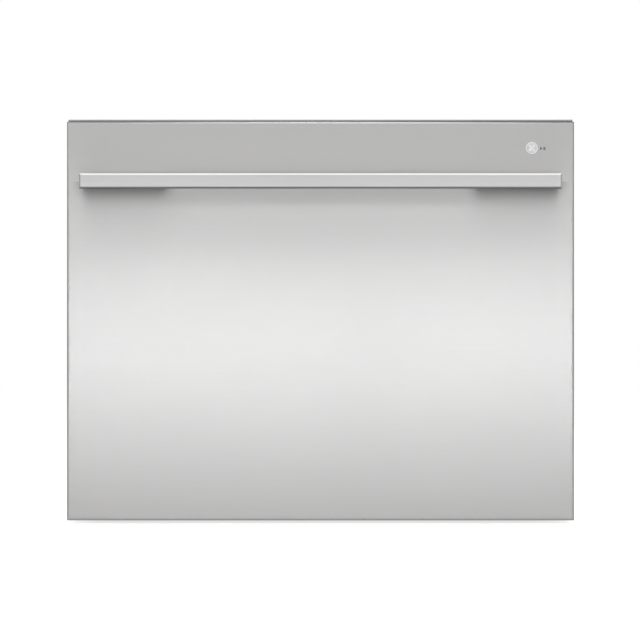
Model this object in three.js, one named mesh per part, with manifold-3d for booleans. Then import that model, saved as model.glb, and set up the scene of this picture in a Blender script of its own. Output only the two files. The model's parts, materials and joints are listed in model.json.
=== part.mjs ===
// A dishwasher drawer: one wash tub that slides out of a low under-bench cabinet.
// Millimetres, +Z up. The front panel faces -Y, and +X is to the right of a person facing it.
// The origin is on the floor, in the middle of the outline seen from above.

import * as THREE from 'three';
import { mergeVertices } from 'three/addons/utils/BufferGeometryUtils.js';
import Module from 'manifold-3d';

const wasm = await Module();
wasm.setup();

// ---- Overall sizes -----------------------------------------------------------------------------
const PANEL_WIDTH = 599; // front panel, side to side
const PANEL_HEIGHT = 471; // front panel, bottom edge to top edge
const PANEL_BOTTOM = 4; // front panel's bottom edge above the floor
const CABINET_DEPTH = 551; // cabinet alone, front to back
const CABINET_TOP = 468; // cabinet's top face above the floor
const CABINET_BOTTOM = 14; // lower edge of the cabinet's sheets
const PANEL_OVERHANG = 2; // how far the panel stands past the cabinet on each side
const SHEET = 1.2; // cabinet sheet steel
const SEAT = 0.3; // gap left between pieces that rest on each other

// ---- Door --------------------------------------------------------------------------------------
const DOOR_THICKNESS = 20;
const DOOR_GAP = 2; // shut door to cabinet front
const SKIN = 1; // steel of the front panel
const SKIN_BEND = 3; // outside radius of the panel's folded edges
const SKIN_RETURN = 17; // depth of the panel's folded sides
const TOP_CAP_HEIGHT = 2.1; // dark strip along the door's top edge
const TOP_CAP_INSET = 1.6; // strip's ends, from the panel's sides
const CARRIER_WALL = 2.5; // moulded frame inside the door
const RIB_PITCH = 110;
const RIB_THICKNESS = 2;
const SPACER_INSET = 15.5; // moulding between door and tub, from the tub's sides
const SPACER_WALL = 4;

// ---- Handle ------------------------------------------------------------------------------------
const HANDLE_REACH = 38; // bar's front face, from the panel
const BAR_THICKNESS = 10;
const BAR_HEIGHT = 18;
const BAR_INSET = 16.8; // bar's ends, from the panel's sides
const BAR_BEVEL = 2;
const BAR_DROP = 71.5; // bar's centre line, below the panel's top edge
const STANDOFF_WIDTH = 100;
const STANDOFF_STEP = 1; // standoff's top and bottom, inside the bar's
const STUD_RADIUS = 2.5; // studs that hold the standoffs to the door
const STUD_PITCH = 60;
const STUD_LENGTH = 19;

// ---- Start button ------------------------------------------------------------------------------
const BUTTON_INSET = 50.1; // button's centre, from the panel's right side
const BUTTON_DROP = 31.3; // button's centre, below the panel's top edge
const BUTTON_RADIUS = 5.6;
const BUTTON_TRAVEL = 1;
const BEZEL_WALL = 0.9; // between the button's bore and the barrel in the panel
const BEZEL_FLANGE = 0.35; // how far the bezel's face stands out past its barrel
const BEZEL_PROUD = 0.9; // bezel's front, from the panel
const BUTTON_PROUD = 0.7;
const BOARD_WIDTH = 70;
const BOARD_HEIGHT = 32;
const BOARD_THICKNESS = 1.6;

// ---- Feet and base tray ------------------------------------------------------------------------
const FOOT_RADIUS = 18;
const FOOT_PAD = 7;
const FOOT_NUT_RADIUS = 10;
const FOOT_STEM = 5.7;
const FOOT_STEM_TOP = 66; // stem's upper end above the floor
const FOOT_SIDE_INSET = 33; // foot's centre, from the cabinet's side
const FOOT_FRONT_INSET = 62;
const FOOT_BACK_INSET = 36;
const SOCKET_WALL = 4;
const SOCKET_TOP = 72;
const TRAY_HEIGHT = 22;
const TRAY_WALL = 2.5;
const FLOAT_RADIUS = 18;
const FLOAT_HEIGHT = 12;
const FLOAT_POST = 3;
const FLOAT_POST_HEIGHT = 19;
const FLOAT_X = 120;
const FLOAT_FROM_BACK = 105;

// ---- Cabinet front lips, vents and service opening ---------------------------------------------
const LIP_WIDTH = 14;
const LIP_NOTCH = 3; // play above and below the runners
const VENT_COUNT = 6;
const VENT_PITCH = 16;
const VENT_BOTTOM = 52; // lowest slot above the floor
const VENT_LEFT = 60; // slots' left end, from the middle
const VENT_LENGTH = 120;
const VENT_SLOT = 5;
const SERVICE_SILL = 5; // opening's lower edge, above the sheet's
const SERVICE_HEIGHT = 78;
const SERVICE_SIDE_MARGIN = 45; // from the cabinet's left side
const SERVICE_WIDTH = 215;

// ---- Runners -----------------------------------------------------------------------------------
const RUNNER_THICKNESS = 13;
const RUNNER_HEIGHT = 45;
const RUNNER_CENTRE = 152; // height of the runners' centre line
const RUNNER_STEEL = 1.5;
const RUNNER_PLAY = 0.4; // between the lips where the balls run
const RUNNER_FRONT_INSET = 2.5;
const RUNNER_BACK_INSET = 38.5;
const RUNNER_STEP = 8; // inner member ends this far in front of the outer one

// ---- Tub ---------------------------------------------------------------------------------------
const TUB_BOTTOM = 118;
const TUB_RIM = 418;
const TUB_WALL = 3;
const TUB_RAIL = 5; // side rail that carries the inner runner
const TUB_CORNER = 26;
const TUB_FRONT_INSET = 5.5; // from the cabinet's front
const TUB_BACK_INSET = 43.5; // from the cabinet's back
const RIM_WIDTH = 4;
const RIM_HEIGHT = 6;
const SUMP_RADIUS = 118;
const SUMP_DEPTH = 20;
const LEDGE_WIDTH = 15; // pads on the tub's sides that carry the rack
const LEDGE_LENGTH = 40;
const LEDGE_INSET = 60; // from the rack's front and back
const LEDGE_HEIGHT = 7;

// ---- Lid ---------------------------------------------------------------------------------------
const SEAL_HEIGHT = 5.7;
const SEAL_WIDTH = 9;
const SEAL_INSET = 1; // outer edge, from the tub's sides
const LID_THICKNESS = 16;
const LID_SKIN = 5;
const LID_LIFT = 8;
const LID_ROD = 4;
const ACTUATOR_WIDTH = 40;
const ACTUATOR_LENGTH = 120;
const ROD_PITCH = 90;
const ROD_INSET = 6; // rod's centre, from the lid's side edge

// ---- Water parts under the tub -----------------------------------------------------------------
const PUMP_RADIUS = 58;
const PUMP_HEIGHT = 31;
const PUMP_WALL = 4;
const ROTOR_RADIUS = 44;
const ROTOR_HEIGHT = 16;
const VANE_COUNT = 6;
const PIN_RADIUS = 4;
const SPINDLE_RADIUS = 11;
const SPINDLE_BORE = 7;
const SPINDLE_TOP = 137;
const HEATER_RING = 101;
const HEATER_TUBE = 4.5;
const HEATER_LEG = 3;
const HEATER_LEG_SPREAD = 12; // degrees between the two legs
const FILTER_RADIUS = 129;
const FILTER_SHEET = 1.5;
const STRAINER_RADIUS = 27;
const STRAINER_FLANGE = 31;
const STRAINER_WALL = 2;
const STRAINER_OFFSET = 52; // strainer's centre, from the spindle
const STRAINER_ANGLE = 45;
const STRAINER_GRIP_HEIGHT = 4;
const SPRAY_CLEARANCE = 22; // arm's tip to the nearest tub wall
const SPRAY_HUB = 24;
const SPRAY_BOTTOM = 133; // underside of the arm's two wings
const SPRAY_HUB_DROP = 3; // hub's lower edge, below the wings
const SPRAY_THICKNESS = 11;
const SPRAY_ROOT_WIDTH = 46;
const SPRAY_TIP_WIDTH = 26;

// ---- Electrics under the tub -------------------------------------------------------------------
const CONTROLLER_SIZE = [120, 120, 38];
const CONTROLLER_SIDE_INSET = 48; // from the tub's right side
const CONTROLLER_SETBACK = 81; // box's back edge, in front of the sump's middle
const FAN_RADIUS = 46;
const FAN_HEIGHT = 42;
const FAN_WALL = 2.5;
const FAN_INLET = 22;
const FAN_SIDE_INSET = 128; // fan's centre, from the tub's left side
const FAN_SUMP_GAP = 23; // fan's centre, in front of the sump's bore
const IMPELLER_RADIUS = 38;
const IMPELLER_HEIGHT = 26;
const BLADE_COUNT = 8;

// ---- Folding hose carrier ----------------------------------------------------------------------
const DRAWER_TRAVEL = 500;
const ARM_LENGTH = 360; // between an arm's two pivots
const ARM_WIDTH = 26;
const ARM_HEIGHT = 10;
const ARM_WALL = 2;
const ARM_HUB = 16;
const ARM_BOTTOM = 38; // underside of the lower arm
const PIVOT_RADIUS = 5;
const PIVOT_SLOP = 3; // free play at the drawer's pivot
const PIVOT_SIDE_INSET = 107.5; // from the cabinet's left side
const PIVOT_FROM_TUB_BACK = 22;
const BRACKET_SIZE = 30;

// ---- Water and power connections at the back ---------------------------------------------------
const FILL_HOSE = 5;
const DRAIN_HOSE = 7;
const HOSE_STRAIGHT = 45; // straight stretch at each end of a hose
const VALVE_WIDTH = 26;
const VALVE_LENGTH = 36;
const VALVE_SIDE_INSET = 75; // valve's centre, from the cabinet's left side
const OUTLET_SIDE_INSET = 147;
const TERMINAL_SIDE_INSET = 205;
const TERMINAL_SIZE = [60, 36, 52];
const VALVE_HEIGHT = 39;
const SOLENOID_RADIUS = 11;
const SOLENOID_HEIGHT = 28;
const OUTLET_SETBACK = 14; // outlet's block, behind the valve's face
const OUTLET_RISE = 3; // outlet's axis, above the hose's other end
const GLAND_RADIUS = 9;
const SPIGOT_LENGTH = 8;

// ---- Dispenser ---------------------------------------------------------------------------------
const DISPENSER_WIDTH = 150;
const DISPENSER_HEIGHT = 80;
const DISPENSER_DEPTH = 30;
const DISPENSER_TOP_DROP = 26; // below the tub's rim
const CUP_WIDTH = 80;
const CUP_HEIGHT = 58;
const CUP_DEPTH = 24;
const FLAP_THICKNESS = 3;
const FLAP_BARREL = 2.5;
const FLAP_PIN = 1.5;
const EAR_WIDTH = 5;
const CAP_RADIUS = 20;
const CAP_STEM = 12;
const CAP_HEIGHT = 6;

// ---- Rack --------------------------------------------------------------------------------------
const WIRE = 4; // square section that stands for a coated wire
const ROD_RADIUS = 2.5; // round rods that pieces fold about
const TINE_RADIUS = 2;
const RACK_SIDE_GAP = 12.7; // rack to the tub's inner sides
const RACK_FRONT_GAP = 46; // rack to the tub's inner front, behind the dispenser
const RACK_BACK_GAP = 9;
const RACK_FLOOR = 150; // height of the floor wires' centre
const RACK_WALL_HEIGHT = 140;
const FLOOR_PITCH = 58;
const POST_PITCH = 64;
const TINE_PITCH = 32;
const TINE_COUNT = 10;
const TINE_HEIGHT = 90;
const TINE_ROW_PITCH = 105;
const TINE_FIRST_ROW = 82; // first row, from the rack's front
const TINE_SIDE_INSET = 24; // first tine, from the rack's left side
const CUP_SHELF_REACH = 88;
const CUP_SHELF_LENGTH = 320;
const CUP_SHELF_WIRES = 7;
const BASKET_SIZE = [154, 124, 110];
const BASKET_WALL = 2;
const BASKET_SIDE_INSET = 10; // from the rack's right wall
const BASKET_FRONT_INSET = 6;
const BASKET_GRIP = 26; // height of the grip above the basket's edge

// ---- Places that follow from the sizes above ---------------------------------------------------
const HALF_PANEL = PANEL_WIDTH / 2;
const HALF_CABINET = HALF_PANEL - PANEL_OVERHANG;
const INNER_X = HALF_CABINET - SHEET;
const DEPTH = HANDLE_REACH + DOOR_THICKNESS + DOOR_GAP + CABINET_DEPTH;
const BACK_Y = DEPTH / 2;
const CABINET_FRONT_Y = BACK_Y - CABINET_DEPTH;
const DOOR_BACK_Y = CABINET_FRONT_Y - DOOR_GAP;
const PANEL_FRONT_Y = DOOR_BACK_Y - DOOR_THICKNESS;
const PANEL_TOP = PANEL_BOTTOM + PANEL_HEIGHT;
const TRAY_FLOOR = CABINET_BOTTOM + TRAY_WALL;
const TOP_INSIDE = CABINET_TOP - SHEET;
const RAIL_X = INNER_X - RUNNER_THICKNESS - 2 * SEAT;
const TUB_X = RAIL_X - TUB_RAIL;
const TUB_FRONT = CABINET_FRONT_Y + TUB_FRONT_INSET;
const TUB_BACK = BACK_Y - TUB_BACK_INSET;
const TUB_MIDDLE = (TUB_FRONT + TUB_BACK) / 2;
const TUB_FLOOR = TUB_BOTTOM + TUB_WALL;
const SUMP_BOTTOM = TUB_BOTTOM - SUMP_DEPTH;
const SUMP_FLOOR = SUMP_BOTTOM + TUB_WALL;
const FILTER_TOP = TUB_FLOOR + SEAT + FILTER_SHEET;
const SEAL_BOTTOM = TUB_RIM + SEAT;
const LID_BOTTOM = SEAL_BOTTOM + SEAL_HEIGHT + SEAT;
const LID_TOP = LID_BOTTOM + LID_THICKNESS;
const LID_X = TUB_X - SEAL_INSET;
const ROD_X = LID_X - ROD_INSET;
const PUMP_TOP = SUMP_BOTTOM - SEAT;
const PUMP_BOTTOM = PUMP_TOP - PUMP_HEIGHT;
const STRAINER_X = STRAINER_OFFSET * Math.cos(THREE.MathUtils.degToRad(STRAINER_ANGLE));
const STRAINER_Y = TUB_MIDDLE + STRAINER_OFFSET * Math.sin(THREE.MathUtils.degToRad(STRAINER_ANGLE));
const PIVOT_X = PIVOT_SIDE_INSET - HALF_CABINET;
const DRAWER_PIVOT_Y = TUB_BACK - PIVOT_FROM_TUB_BACK;
const CABINET_PIVOT_Y = DRAWER_PIVOT_Y - DRAWER_TRAVEL / 2;
const ARM_ANGLE = Math.asin(DRAWER_TRAVEL / 4 / ARM_LENGTH);
const ARM_TOP = ARM_BOTTOM + ARM_HEIGHT;
const UPPER_ARM_BOTTOM = ARM_TOP + SEAT;
const UPPER_ARM_TOP = UPPER_ARM_BOTTOM + ARM_HEIGHT;
const RACK_X = TUB_X - TUB_WALL - RACK_SIDE_GAP;
const RACK_FRONT = TUB_FRONT + TUB_WALL + RACK_FRONT_GAP;
const RACK_BACK = TUB_BACK - TUB_WALL - RACK_BACK_GAP;
const RACK_FLOOR_TOP = RACK_FLOOR + WIRE / 2;
const RACK_TOP = RACK_FLOOR + RACK_WALL_HEIGHT;
const BAR_X = HALF_PANEL - BAR_INSET;
const BAR_Z = PANEL_TOP - BAR_DROP;
const BUTTON_X = HALF_PANEL - BUTTON_INSET;
const BUTTON_Z = PANEL_TOP - BUTTON_DROP;
const BEZEL_BARREL = BUTTON_RADIUS + SEAT + BEZEL_WALL;
const BEZEL_RADIUS = BEZEL_BARREL + BEZEL_FLANGE;
const DISPENSER_TOP = TUB_RIM - DISPENSER_TOP_DROP;

// ---- Finishes ----------------------------------------------------------------------------------
function finish(color, roughness, metalness) {
  return new THREE.MeshStandardMaterial({ color, roughness, metalness });
}
const brushedSteel = finish(0xc4c6c8, 0.32, 1);
const satinBar = finish(0xbfc1c3, 0.35, 1);
const zincSheet = finish(0xa9adb0, 0.45, 0.9);
const runnerSteel = finish(0xb0b3b6, 0.3, 1);
const tubPlastic = finish(0xc9ccce, 0.45, 0);
const greyPlastic = finish(0x8d9194, 0.5, 0);
const darkPlastic = finish(0x33363a, 0.55, 0);
const blackRubber = finish(0x1d1e20, 0.8, 0);
const coatedWire = finish(0x9aa0a6, 0.45, 0);
const heaterSteel = finish(0x8f8d88, 0.35, 1);
const polishedRing = finish(0xd8d9da, 0.15, 1);
const boardGreen = finish(0x1f5d3a, 0.6, 0);

// ---- Solids ------------------------------------------------------------------------------------
// Closed triangle mesh to a solid that can be joined and cut. Slivers of no width are left out,
// and a mesh whose faces point inwards is turned right way out.
function toSolid(geometry) {
  const bare = geometry.clone();
  bare.deleteAttribute('normal');
  bare.deleteAttribute('uv');
  const merged = mergeVertices(bare, 1e-4);
  const corners = Array.from(merged.index.array);
  const kept = [];
  for (let i = 0; i < corners.length; i += 3) {
    const [a, b, c] = corners.slice(i, i + 3);
    if (a !== b && b !== c && c !== a) kept.push(a, b, c);
  }
  const build = (triangles) => new wasm.Manifold(new wasm.Mesh({
    numProp: 3,
    vertProperties: new Float32Array(merged.attributes.position.array),
    triVerts: new Uint32Array(triangles),
  }));
  const solid = build(kept);
  return solid.volume() > 0 ? solid : build(kept.reverse());
}

function toGeometry(solid) {
  const mesh = solid.getMesh();
  const geometry = new THREE.BufferGeometry();
  geometry.setAttribute('position', new THREE.BufferAttribute(mesh.vertProperties, 3));
  geometry.setIndex(new THREE.BufferAttribute(mesh.triVerts, 1));
  geometry.computeVertexNormals();
  return geometry;
}

function join(first, ...others) {
  return others.reduce((whole, solid) => whole.add(solid), first);
}

function cut(first, ...tools) {
  return tools.reduce((whole, solid) => whole.subtract(solid), first);
}

// Box between two corners, given as pairs of limits in any order.
function block([x0, x1], [y0, y1], [z0, z1]) {
  const size = [Math.abs(x1 - x0), Math.abs(y1 - y0), Math.abs(z1 - z0)];
  const geometry = new THREE.BoxGeometry(...size);
  geometry.translate((x0 + x1) / 2, (y0 + y1) / 2, (z0 + z1) / 2);
  return toSolid(geometry);
}

// Upright round bar.
function barrel(radius, [z0, z1], [x, y] = [0, 0], sides = 20) {
  const geometry = new THREE.CylinderGeometry(radius, radius, z1 - z0, sides);
  geometry.rotateX(Math.PI / 2);
  geometry.translate(x, y, (z0 + z1) / 2);
  return toSolid(geometry);
}

// Round bar that lies along Y.
function barrelY(radius, [y0, y1], [x, z] = [0, 0], sides = 20) {
  const geometry = new THREE.CylinderGeometry(radius, radius, y1 - y0, sides);
  geometry.translate(x, (y0 + y1) / 2, z);
  return toSolid(geometry);
}

// Round bar that lies along X.
function barrelX(radius, [x0, x1], [y, z] = [0, 0], sides = 20) {
  const geometry = new THREE.CylinderGeometry(radius, radius, x1 - x0, sides);
  geometry.rotateZ(Math.PI / 2);
  geometry.translate((x0 + x1) / 2, y, z);
  return toSolid(geometry);
}

// Outline [radius, height] turned about an upright axis.
function turned(outline, [x, y] = [0, 0], sides = 24) {
  const points = outline.map(([radius, height]) => new THREE.Vector2(radius, height));
  const geometry = new THREE.LatheGeometry(points, sides);
  geometry.rotateX(Math.PI / 2);
  geometry.translate(x, y, 0);
  return toSolid(geometry);
}

function roundedOutline([x0, x1], [y0, y1], radius) {
  const outline = new THREE.Shape();
  outline.absarc(x1 - radius, y0 + radius, radius, -Math.PI / 2, 0);
  outline.absarc(x1 - radius, y1 - radius, radius, 0, Math.PI / 2);
  outline.absarc(x0 + radius, y1 - radius, radius, Math.PI / 2, Math.PI);
  outline.absarc(x0 + radius, y0 + radius, radius, Math.PI, 1.5 * Math.PI);
  outline.closePath();
  return outline;
}

// Outline in plan, raised between two heights.
function slab(outline, [z0, z1], curveSegments = 3) {
  const options = { depth: z1 - z0, bevelEnabled: false, curveSegments };
  const geometry = new THREE.ExtrudeGeometry(outline, options);
  geometry.translate(0, 0, z0);
  return toSolid(geometry);
}

function roundedSlab(xs, ys, zs, radius) {
  return slab(roundedOutline(xs, ys, radius), zs);
}

// Box whose front and back edges are eased by the same amount all round.
function easedPlate([x0, x1], [y0, y1], [z0, z1], ease, steps) {
  const outline = new THREE.Shape();
  outline.moveTo(x0 + ease, z0 + ease);
  outline.lineTo(x1 - ease, z0 + ease);
  outline.lineTo(x1 - ease, z1 - ease);
  outline.lineTo(x0 + ease, z1 - ease);
  outline.closePath();
  const geometry = new THREE.ExtrudeGeometry(outline, {
    depth: y1 - y0 - 2 * ease,
    bevelThickness: ease,
    bevelSize: ease,
    bevelSegments: steps,
  });
  geometry.rotateX(Math.PI / 2);
  geometry.translate(0, y1 - ease, 0);
  return toSolid(geometry);
}

// Round hose along a smooth route.
function hose(points, radius, sides, steps) {
  const section = new THREE.Shape();
  section.absarc(0, 0, radius, 0, 2 * Math.PI);
  const route = new THREE.CatmullRomCurve3(points.map((point) => new THREE.Vector3(...point)));
  const options = { extrudePath: route, steps, curveSegments: sides, bevelEnabled: false };
  return toSolid(new THREE.ExtrudeGeometry(section, options));
}

// Evenly spaced values from first to last, as near the wanted pitch as whole steps allow.
function spread(first, last, pitch) {
  const steps = Math.max(1, Math.round((last - first) / pitch));
  return Array.from({ length: steps + 1 }, (_, i) => first + ((last - first) * i) / steps);
}

const part = new THREE.Group();

function add(name, solid, material, parent = part) {
  const mesh = new THREE.Mesh(toGeometry(solid), material);
  mesh.name = name;
  parent.add(mesh);
  return mesh;
}

const SIDES = [['left', -1], ['right', 1]];

// ---- Cabinet -----------------------------------------------------------------------------------
// One sheet folded over the top and down both sides, with narrow lips along the front edges.
function cabinetShell() {
  const depth = [CABINET_FRONT_Y, BACK_Y - SHEET - SEAT];
  const heights = [CABINET_BOTTOM, CABINET_TOP];
  const outer = block([-HALF_CABINET, HALF_CABINET], depth, heights);
  const hollow = block(
    [-INNER_X, INNER_X],
    [CABINET_FRONT_Y + SHEET, BACK_Y],
    [CABINET_BOTTOM - 1, TOP_INSIDE],
  );
  const mouth = block(
    [LIP_WIDTH - HALF_CABINET, HALF_CABINET - LIP_WIDTH],
    [CABINET_FRONT_Y - 1, CABINET_FRONT_Y + SHEET + 1],
    [CABINET_BOTTOM - 1, CABINET_TOP - LIP_WIDTH],
  );
  const halfRunner = RUNNER_HEIGHT / 2 + LIP_NOTCH;
  const notch = block(
    [-INNER_X, INNER_X],
    [CABINET_FRONT_Y - 1, CABINET_FRONT_Y + SHEET + 1],
    [RUNNER_CENTRE - halfRunner, RUNNER_CENTRE + halfRunner],
  );
  return cut(outer, hollow, mouth, notch);
}

function cabinetBack() {
  const sheet = block(
    [-HALF_CABINET, HALF_CABINET],
    [BACK_Y - SHEET, BACK_Y],
    [CABINET_BOTTOM, CABINET_TOP],
  );
  const through = [BACK_Y - 2 * SHEET, BACK_Y + SHEET];
  const serviceLeft = SERVICE_SIDE_MARGIN - HALF_CABINET;
  const serviceBottom = CABINET_BOTTOM + SERVICE_SILL;
  const serviceTop = serviceBottom + SERVICE_HEIGHT;
  const service = block(
    [serviceLeft, serviceLeft + SERVICE_WIDTH],
    through,
    [serviceBottom, serviceTop],
  );
  const vents = Array.from({ length: VENT_COUNT }, (_, i) => {
    const height = VENT_BOTTOM + i * VENT_PITCH;
    return block([VENT_LEFT, VENT_LEFT + VENT_LENGTH], through, [height, height + VENT_SLOT]);
  });
  return cut(sheet, service, ...vents);
}

function footPlaces() {
  const x = HALF_CABINET - FOOT_SIDE_INSET;
  const front = CABINET_FRONT_Y + FOOT_FRONT_INSET;
  const back = BACK_Y - FOOT_BACK_INSET;
  return [
    ['foot_front_left', -x, front],
    ['foot_front_right', x, front],
    ['foot_back_left', -x, back],
    ['foot_back_right', x, back],
  ];
}

// Drip tray under everything, with four upright sockets that the feet screw into.
function baseTray() {
  const x = INNER_X - SEAT;
  const front = CABINET_FRONT_Y + SHEET + SEAT;
  const back = BACK_Y - SHEET - SEAT;
  const outer = block([-x, x], [front, back], [CABINET_BOTTOM, CABINET_BOTTOM + TRAY_HEIGHT]);
  const basin = block(
    [-x + TRAY_WALL, x - TRAY_WALL],
    [front + TRAY_WALL, back - TRAY_WALL],
    [TRAY_FLOOR, CABINET_TOP],
  );
  const backStep = block(
    [SERVICE_SIDE_MARGIN - HALF_CABINET, SERVICE_SIDE_MARGIN - HALF_CABINET + SERVICE_WIDTH],
    [back - 2 * TRAY_WALL, back + 1],
    [TRAY_FLOOR + 3, CABINET_TOP],
  );
  let tray = cut(outer, basin, backStep);
  for (const [, footX, footY] of footPlaces()) {
    const socket = barrel(FOOT_STEM + SEAT + SOCKET_WALL, [CABINET_BOTTOM, SOCKET_TOP], [footX, footY]);
    tray = join(tray, socket);
  }
  for (const [, footX, footY] of footPlaces()) {
    tray = cut(tray, barrel(FOOT_STEM + SEAT, [0, CABINET_TOP], [footX, footY]));
  }
  const post = barrel(
    FLOAT_POST,
    [CABINET_BOTTOM + 1, TRAY_FLOOR + FLOAT_POST_HEIGHT],
    [FLOAT_X, BACK_Y - FLOAT_FROM_BACK],
    12,
  );
  return join(tray, post);
}

// Round pad, hexagon to turn it by, and a stem that goes up into the tray's socket.
function foot() {
  const pad = turned([
    [0, 0], [FOOT_RADIUS, 0], [FOOT_RADIUS, FOOT_PAD * 0.5], [FOOT_NUT_RADIUS, FOOT_PAD], [0, FOOT_PAD],
  ]);
  const nut = barrel(FOOT_NUT_RADIUS, [FOOT_PAD - 1, CABINET_BOTTOM - SEAT], [0, 0], 6);
  const stem = barrel(FOOT_STEM, [FOOT_PAD, FOOT_STEM_TOP]);
  return join(pad, nut, stem);
}

function floodFloat() {
  const bore = FLOAT_POST + SEAT;
  return turned([
    [bore, 0], [FLOAT_RADIUS - 2, 0], [FLOAT_RADIUS, 2], [FLOAT_RADIUS, FLOAT_HEIGHT - 2],
    [FLOAT_RADIUS - 2, FLOAT_HEIGHT], [bore, FLOAT_HEIGHT], [bore, 0],
  ], [0, 0], 18);
}

// Motor block under the cabinet's top, with two sleeves that the lid's rods slide in.
function lidActuator(side) {
  const outerX = INNER_X - SEAT;
  const bottom = LID_TOP + LID_LIFT + 2 * SEAT;
  const top = TOP_INSIDE - SEAT;
  const body = block(
    [side * outerX, side * (outerX - ACTUATOR_WIDTH)],
    [TUB_MIDDLE - ACTUATOR_LENGTH / 2, TUB_MIDDLE + ACTUATOR_LENGTH / 2],
    [bottom, top],
  );
  const sleeves = [-1, 1].map((end) => barrel(
    LID_ROD + SEAT,
    [bottom - 1, top + 1],
    [side * ROD_X, TUB_MIDDLE + (end * ROD_PITCH) / 2],
  ));
  return cut(body, ...sleeves);
}

const cabinet = new THREE.Group();
part.add(cabinet);
add('cabinet_shell', cabinetShell(), zincSheet, cabinet);
add('cabinet_back', cabinetBack(), zincSheet, cabinet);
add('base_tray', baseTray(), darkPlastic, cabinet);
for (const [name, x, y] of footPlaces()) {
  add(name, foot(), darkPlastic, cabinet).position.set(x, y, 0);
}
add('flood_float', floodFloat(), tubPlastic, cabinet)
  .position.set(FLOAT_X, BACK_Y - FLOAT_FROM_BACK, TRAY_FLOOR + SEAT);
for (const [label, side] of SIDES) {
  add(`lid_actuator_${label}`, lidActuator(side), darkPlastic, cabinet);
}

// ---- Water and power connections at the back of the cabinet ------------------------------------
const VALVE_X = VALVE_SIDE_INSET - HALF_CABINET;
const OUTLET_X = OUTLET_SIDE_INSET - HALF_CABINET;
const REAR_BACK = BACK_Y - SHEET - TRAY_WALL - 3 * SEAT;
const REAR_FRONT = REAR_BACK - VALVE_LENGTH;
const REAR_END = BACK_Y - 0.5; // threads and spigots stop just inside the cabinet's outline
const FILL_HEIGHT = TRAY_FLOOR + 2 * SEAT + FILL_HOSE;
const DRAIN_HEIGHT = TRAY_FLOOR + 2 * SEAT + DRAIN_HOSE;
const SWIVEL_BACK = CABINET_PIVOT_Y + ARM_HUB;
const FILL_PORT_X = PIVOT_X - ARM_HUB / 2;
const DRAIN_PORT_X = PIVOT_X + ARM_HUB / 2 + SEAT;

// Block with a solenoid on top, an inlet thread to the back and a small outlet to the front.
function inletValve() {
  const half = VALVE_WIDTH / 2;
  const top = TRAY_FLOOR + SEAT + VALVE_HEIGHT;
  const body = block([VALVE_X - half, VALVE_X + half], [REAR_FRONT, REAR_BACK], [TRAY_FLOOR + SEAT, top]);
  const solenoid = barrel(
    SOLENOID_RADIUS,
    [top - 1, top + SOLENOID_HEIGHT],
    [VALVE_X, REAR_FRONT + VALVE_LENGTH / 2],
  );
  const thread = barrelY(half - 2, [REAR_BACK - 1, REAR_END], [VALVE_X, top - half]);
  const outlet = barrelY(
    FILL_HOSE - 1,
    [REAR_FRONT - SPIGOT_LENGTH, REAR_FRONT + 1],
    [VALVE_X, FILL_HEIGHT],
    12,
  );
  return join(body, solenoid, thread, outlet);
}

function drainOutlet() {
  const half = DRAIN_HOSE + 4;
  const body = block(
    [OUTLET_X - half, OUTLET_X + half],
    [REAR_FRONT + OUTLET_SETBACK, REAR_BACK],
    [TRAY_FLOOR + SEAT, DRAIN_HEIGHT + DRAIN_HOSE + 4],
  );
  const spigots = barrelY(
    DRAIN_HOSE - 1,
    [REAR_FRONT + OUTLET_SETBACK - SPIGOT_LENGTH, REAR_END],
    [OUTLET_X, DRAIN_HEIGHT + OUTLET_RISE],
    16,
  );
  return join(body, spigots);
}

// Mains terminal box with the gland that a supply lead would come in by.
function terminalBox() {
  const [width, length, height] = TERMINAL_SIZE;
  const middle = TERMINAL_SIDE_INSET - HALF_CABINET;
  const body = block(
    [middle - width / 2, middle + width / 2],
    [REAR_BACK - length, REAR_BACK],
    [TRAY_FLOOR + SEAT, TRAY_FLOOR + SEAT + height],
  );
  const gland = barrelY(GLAND_RADIUS, [REAR_BACK - 1, REAR_END], [middle, TRAY_FLOOR + 0.6 * height], 6);
  return join(body, gland);
}

// Pedestal that joins the fixed hoses to the folding carrier and holds its first pivot.
function swivelBase() {
  const body = roundedSlab(
    [PIVOT_X - ARM_HUB - 6, PIVOT_X + ARM_HUB + 6],
    [CABINET_PIVOT_Y - ARM_HUB, SWIVEL_BACK],
    [TRAY_FLOOR + SEAT, ARM_BOTTOM - SEAT],
    6,
  );
  const post = barrel(PIVOT_RADIUS, [ARM_BOTTOM - 1, ARM_TOP], [PIVOT_X, CABINET_PIVOT_Y]);
  return join(body, post);
}

// Hose that leaves the pedestal square to it and meets its connection square too.
function fixedHose([startX, endX], endY, [startHeight, endHeight], radius) {
  const start = SWIVEL_BACK + SEAT;
  const ease = HOSE_STRAIGHT;
  return hose([
    [startX, start, startHeight],
    [startX, start + ease, startHeight],
    [(startX + endX) / 2, (start + endY) / 2, (startHeight + endHeight) / 2],
    [endX, endY - ease, endHeight],
    [endX, endY, endHeight],
  ], radius, 4, 14);
}

const services = new THREE.Group();
cabinet.add(services);
add('inlet_valve', inletValve(), greyPlastic, services);
add('drain_outlet', drainOutlet(), greyPlastic, services);
add('terminal_box', terminalBox(), darkPlastic, services);
add('swivel_base', swivelBase(), darkPlastic, services);
const fillEnd = REAR_FRONT - SPIGOT_LENGTH - SEAT;
const drainEnd = REAR_FRONT + OUTLET_SETBACK - SPIGOT_LENGTH - SEAT;
const fillRun = fixedHose([FILL_PORT_X, VALVE_X], fillEnd, [FILL_HEIGHT, FILL_HEIGHT], FILL_HOSE);
const drainHeights = [DRAIN_HEIGHT, DRAIN_HEIGHT + OUTLET_RISE];
const drainRun = fixedHose([DRAIN_PORT_X, OUTLET_X], drainEnd, drainHeights, DRAIN_HOSE);
add('fill_hose', fillRun, greyPlastic, services);
add('drain_hose', drainRun, blackRubber, services);

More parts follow.
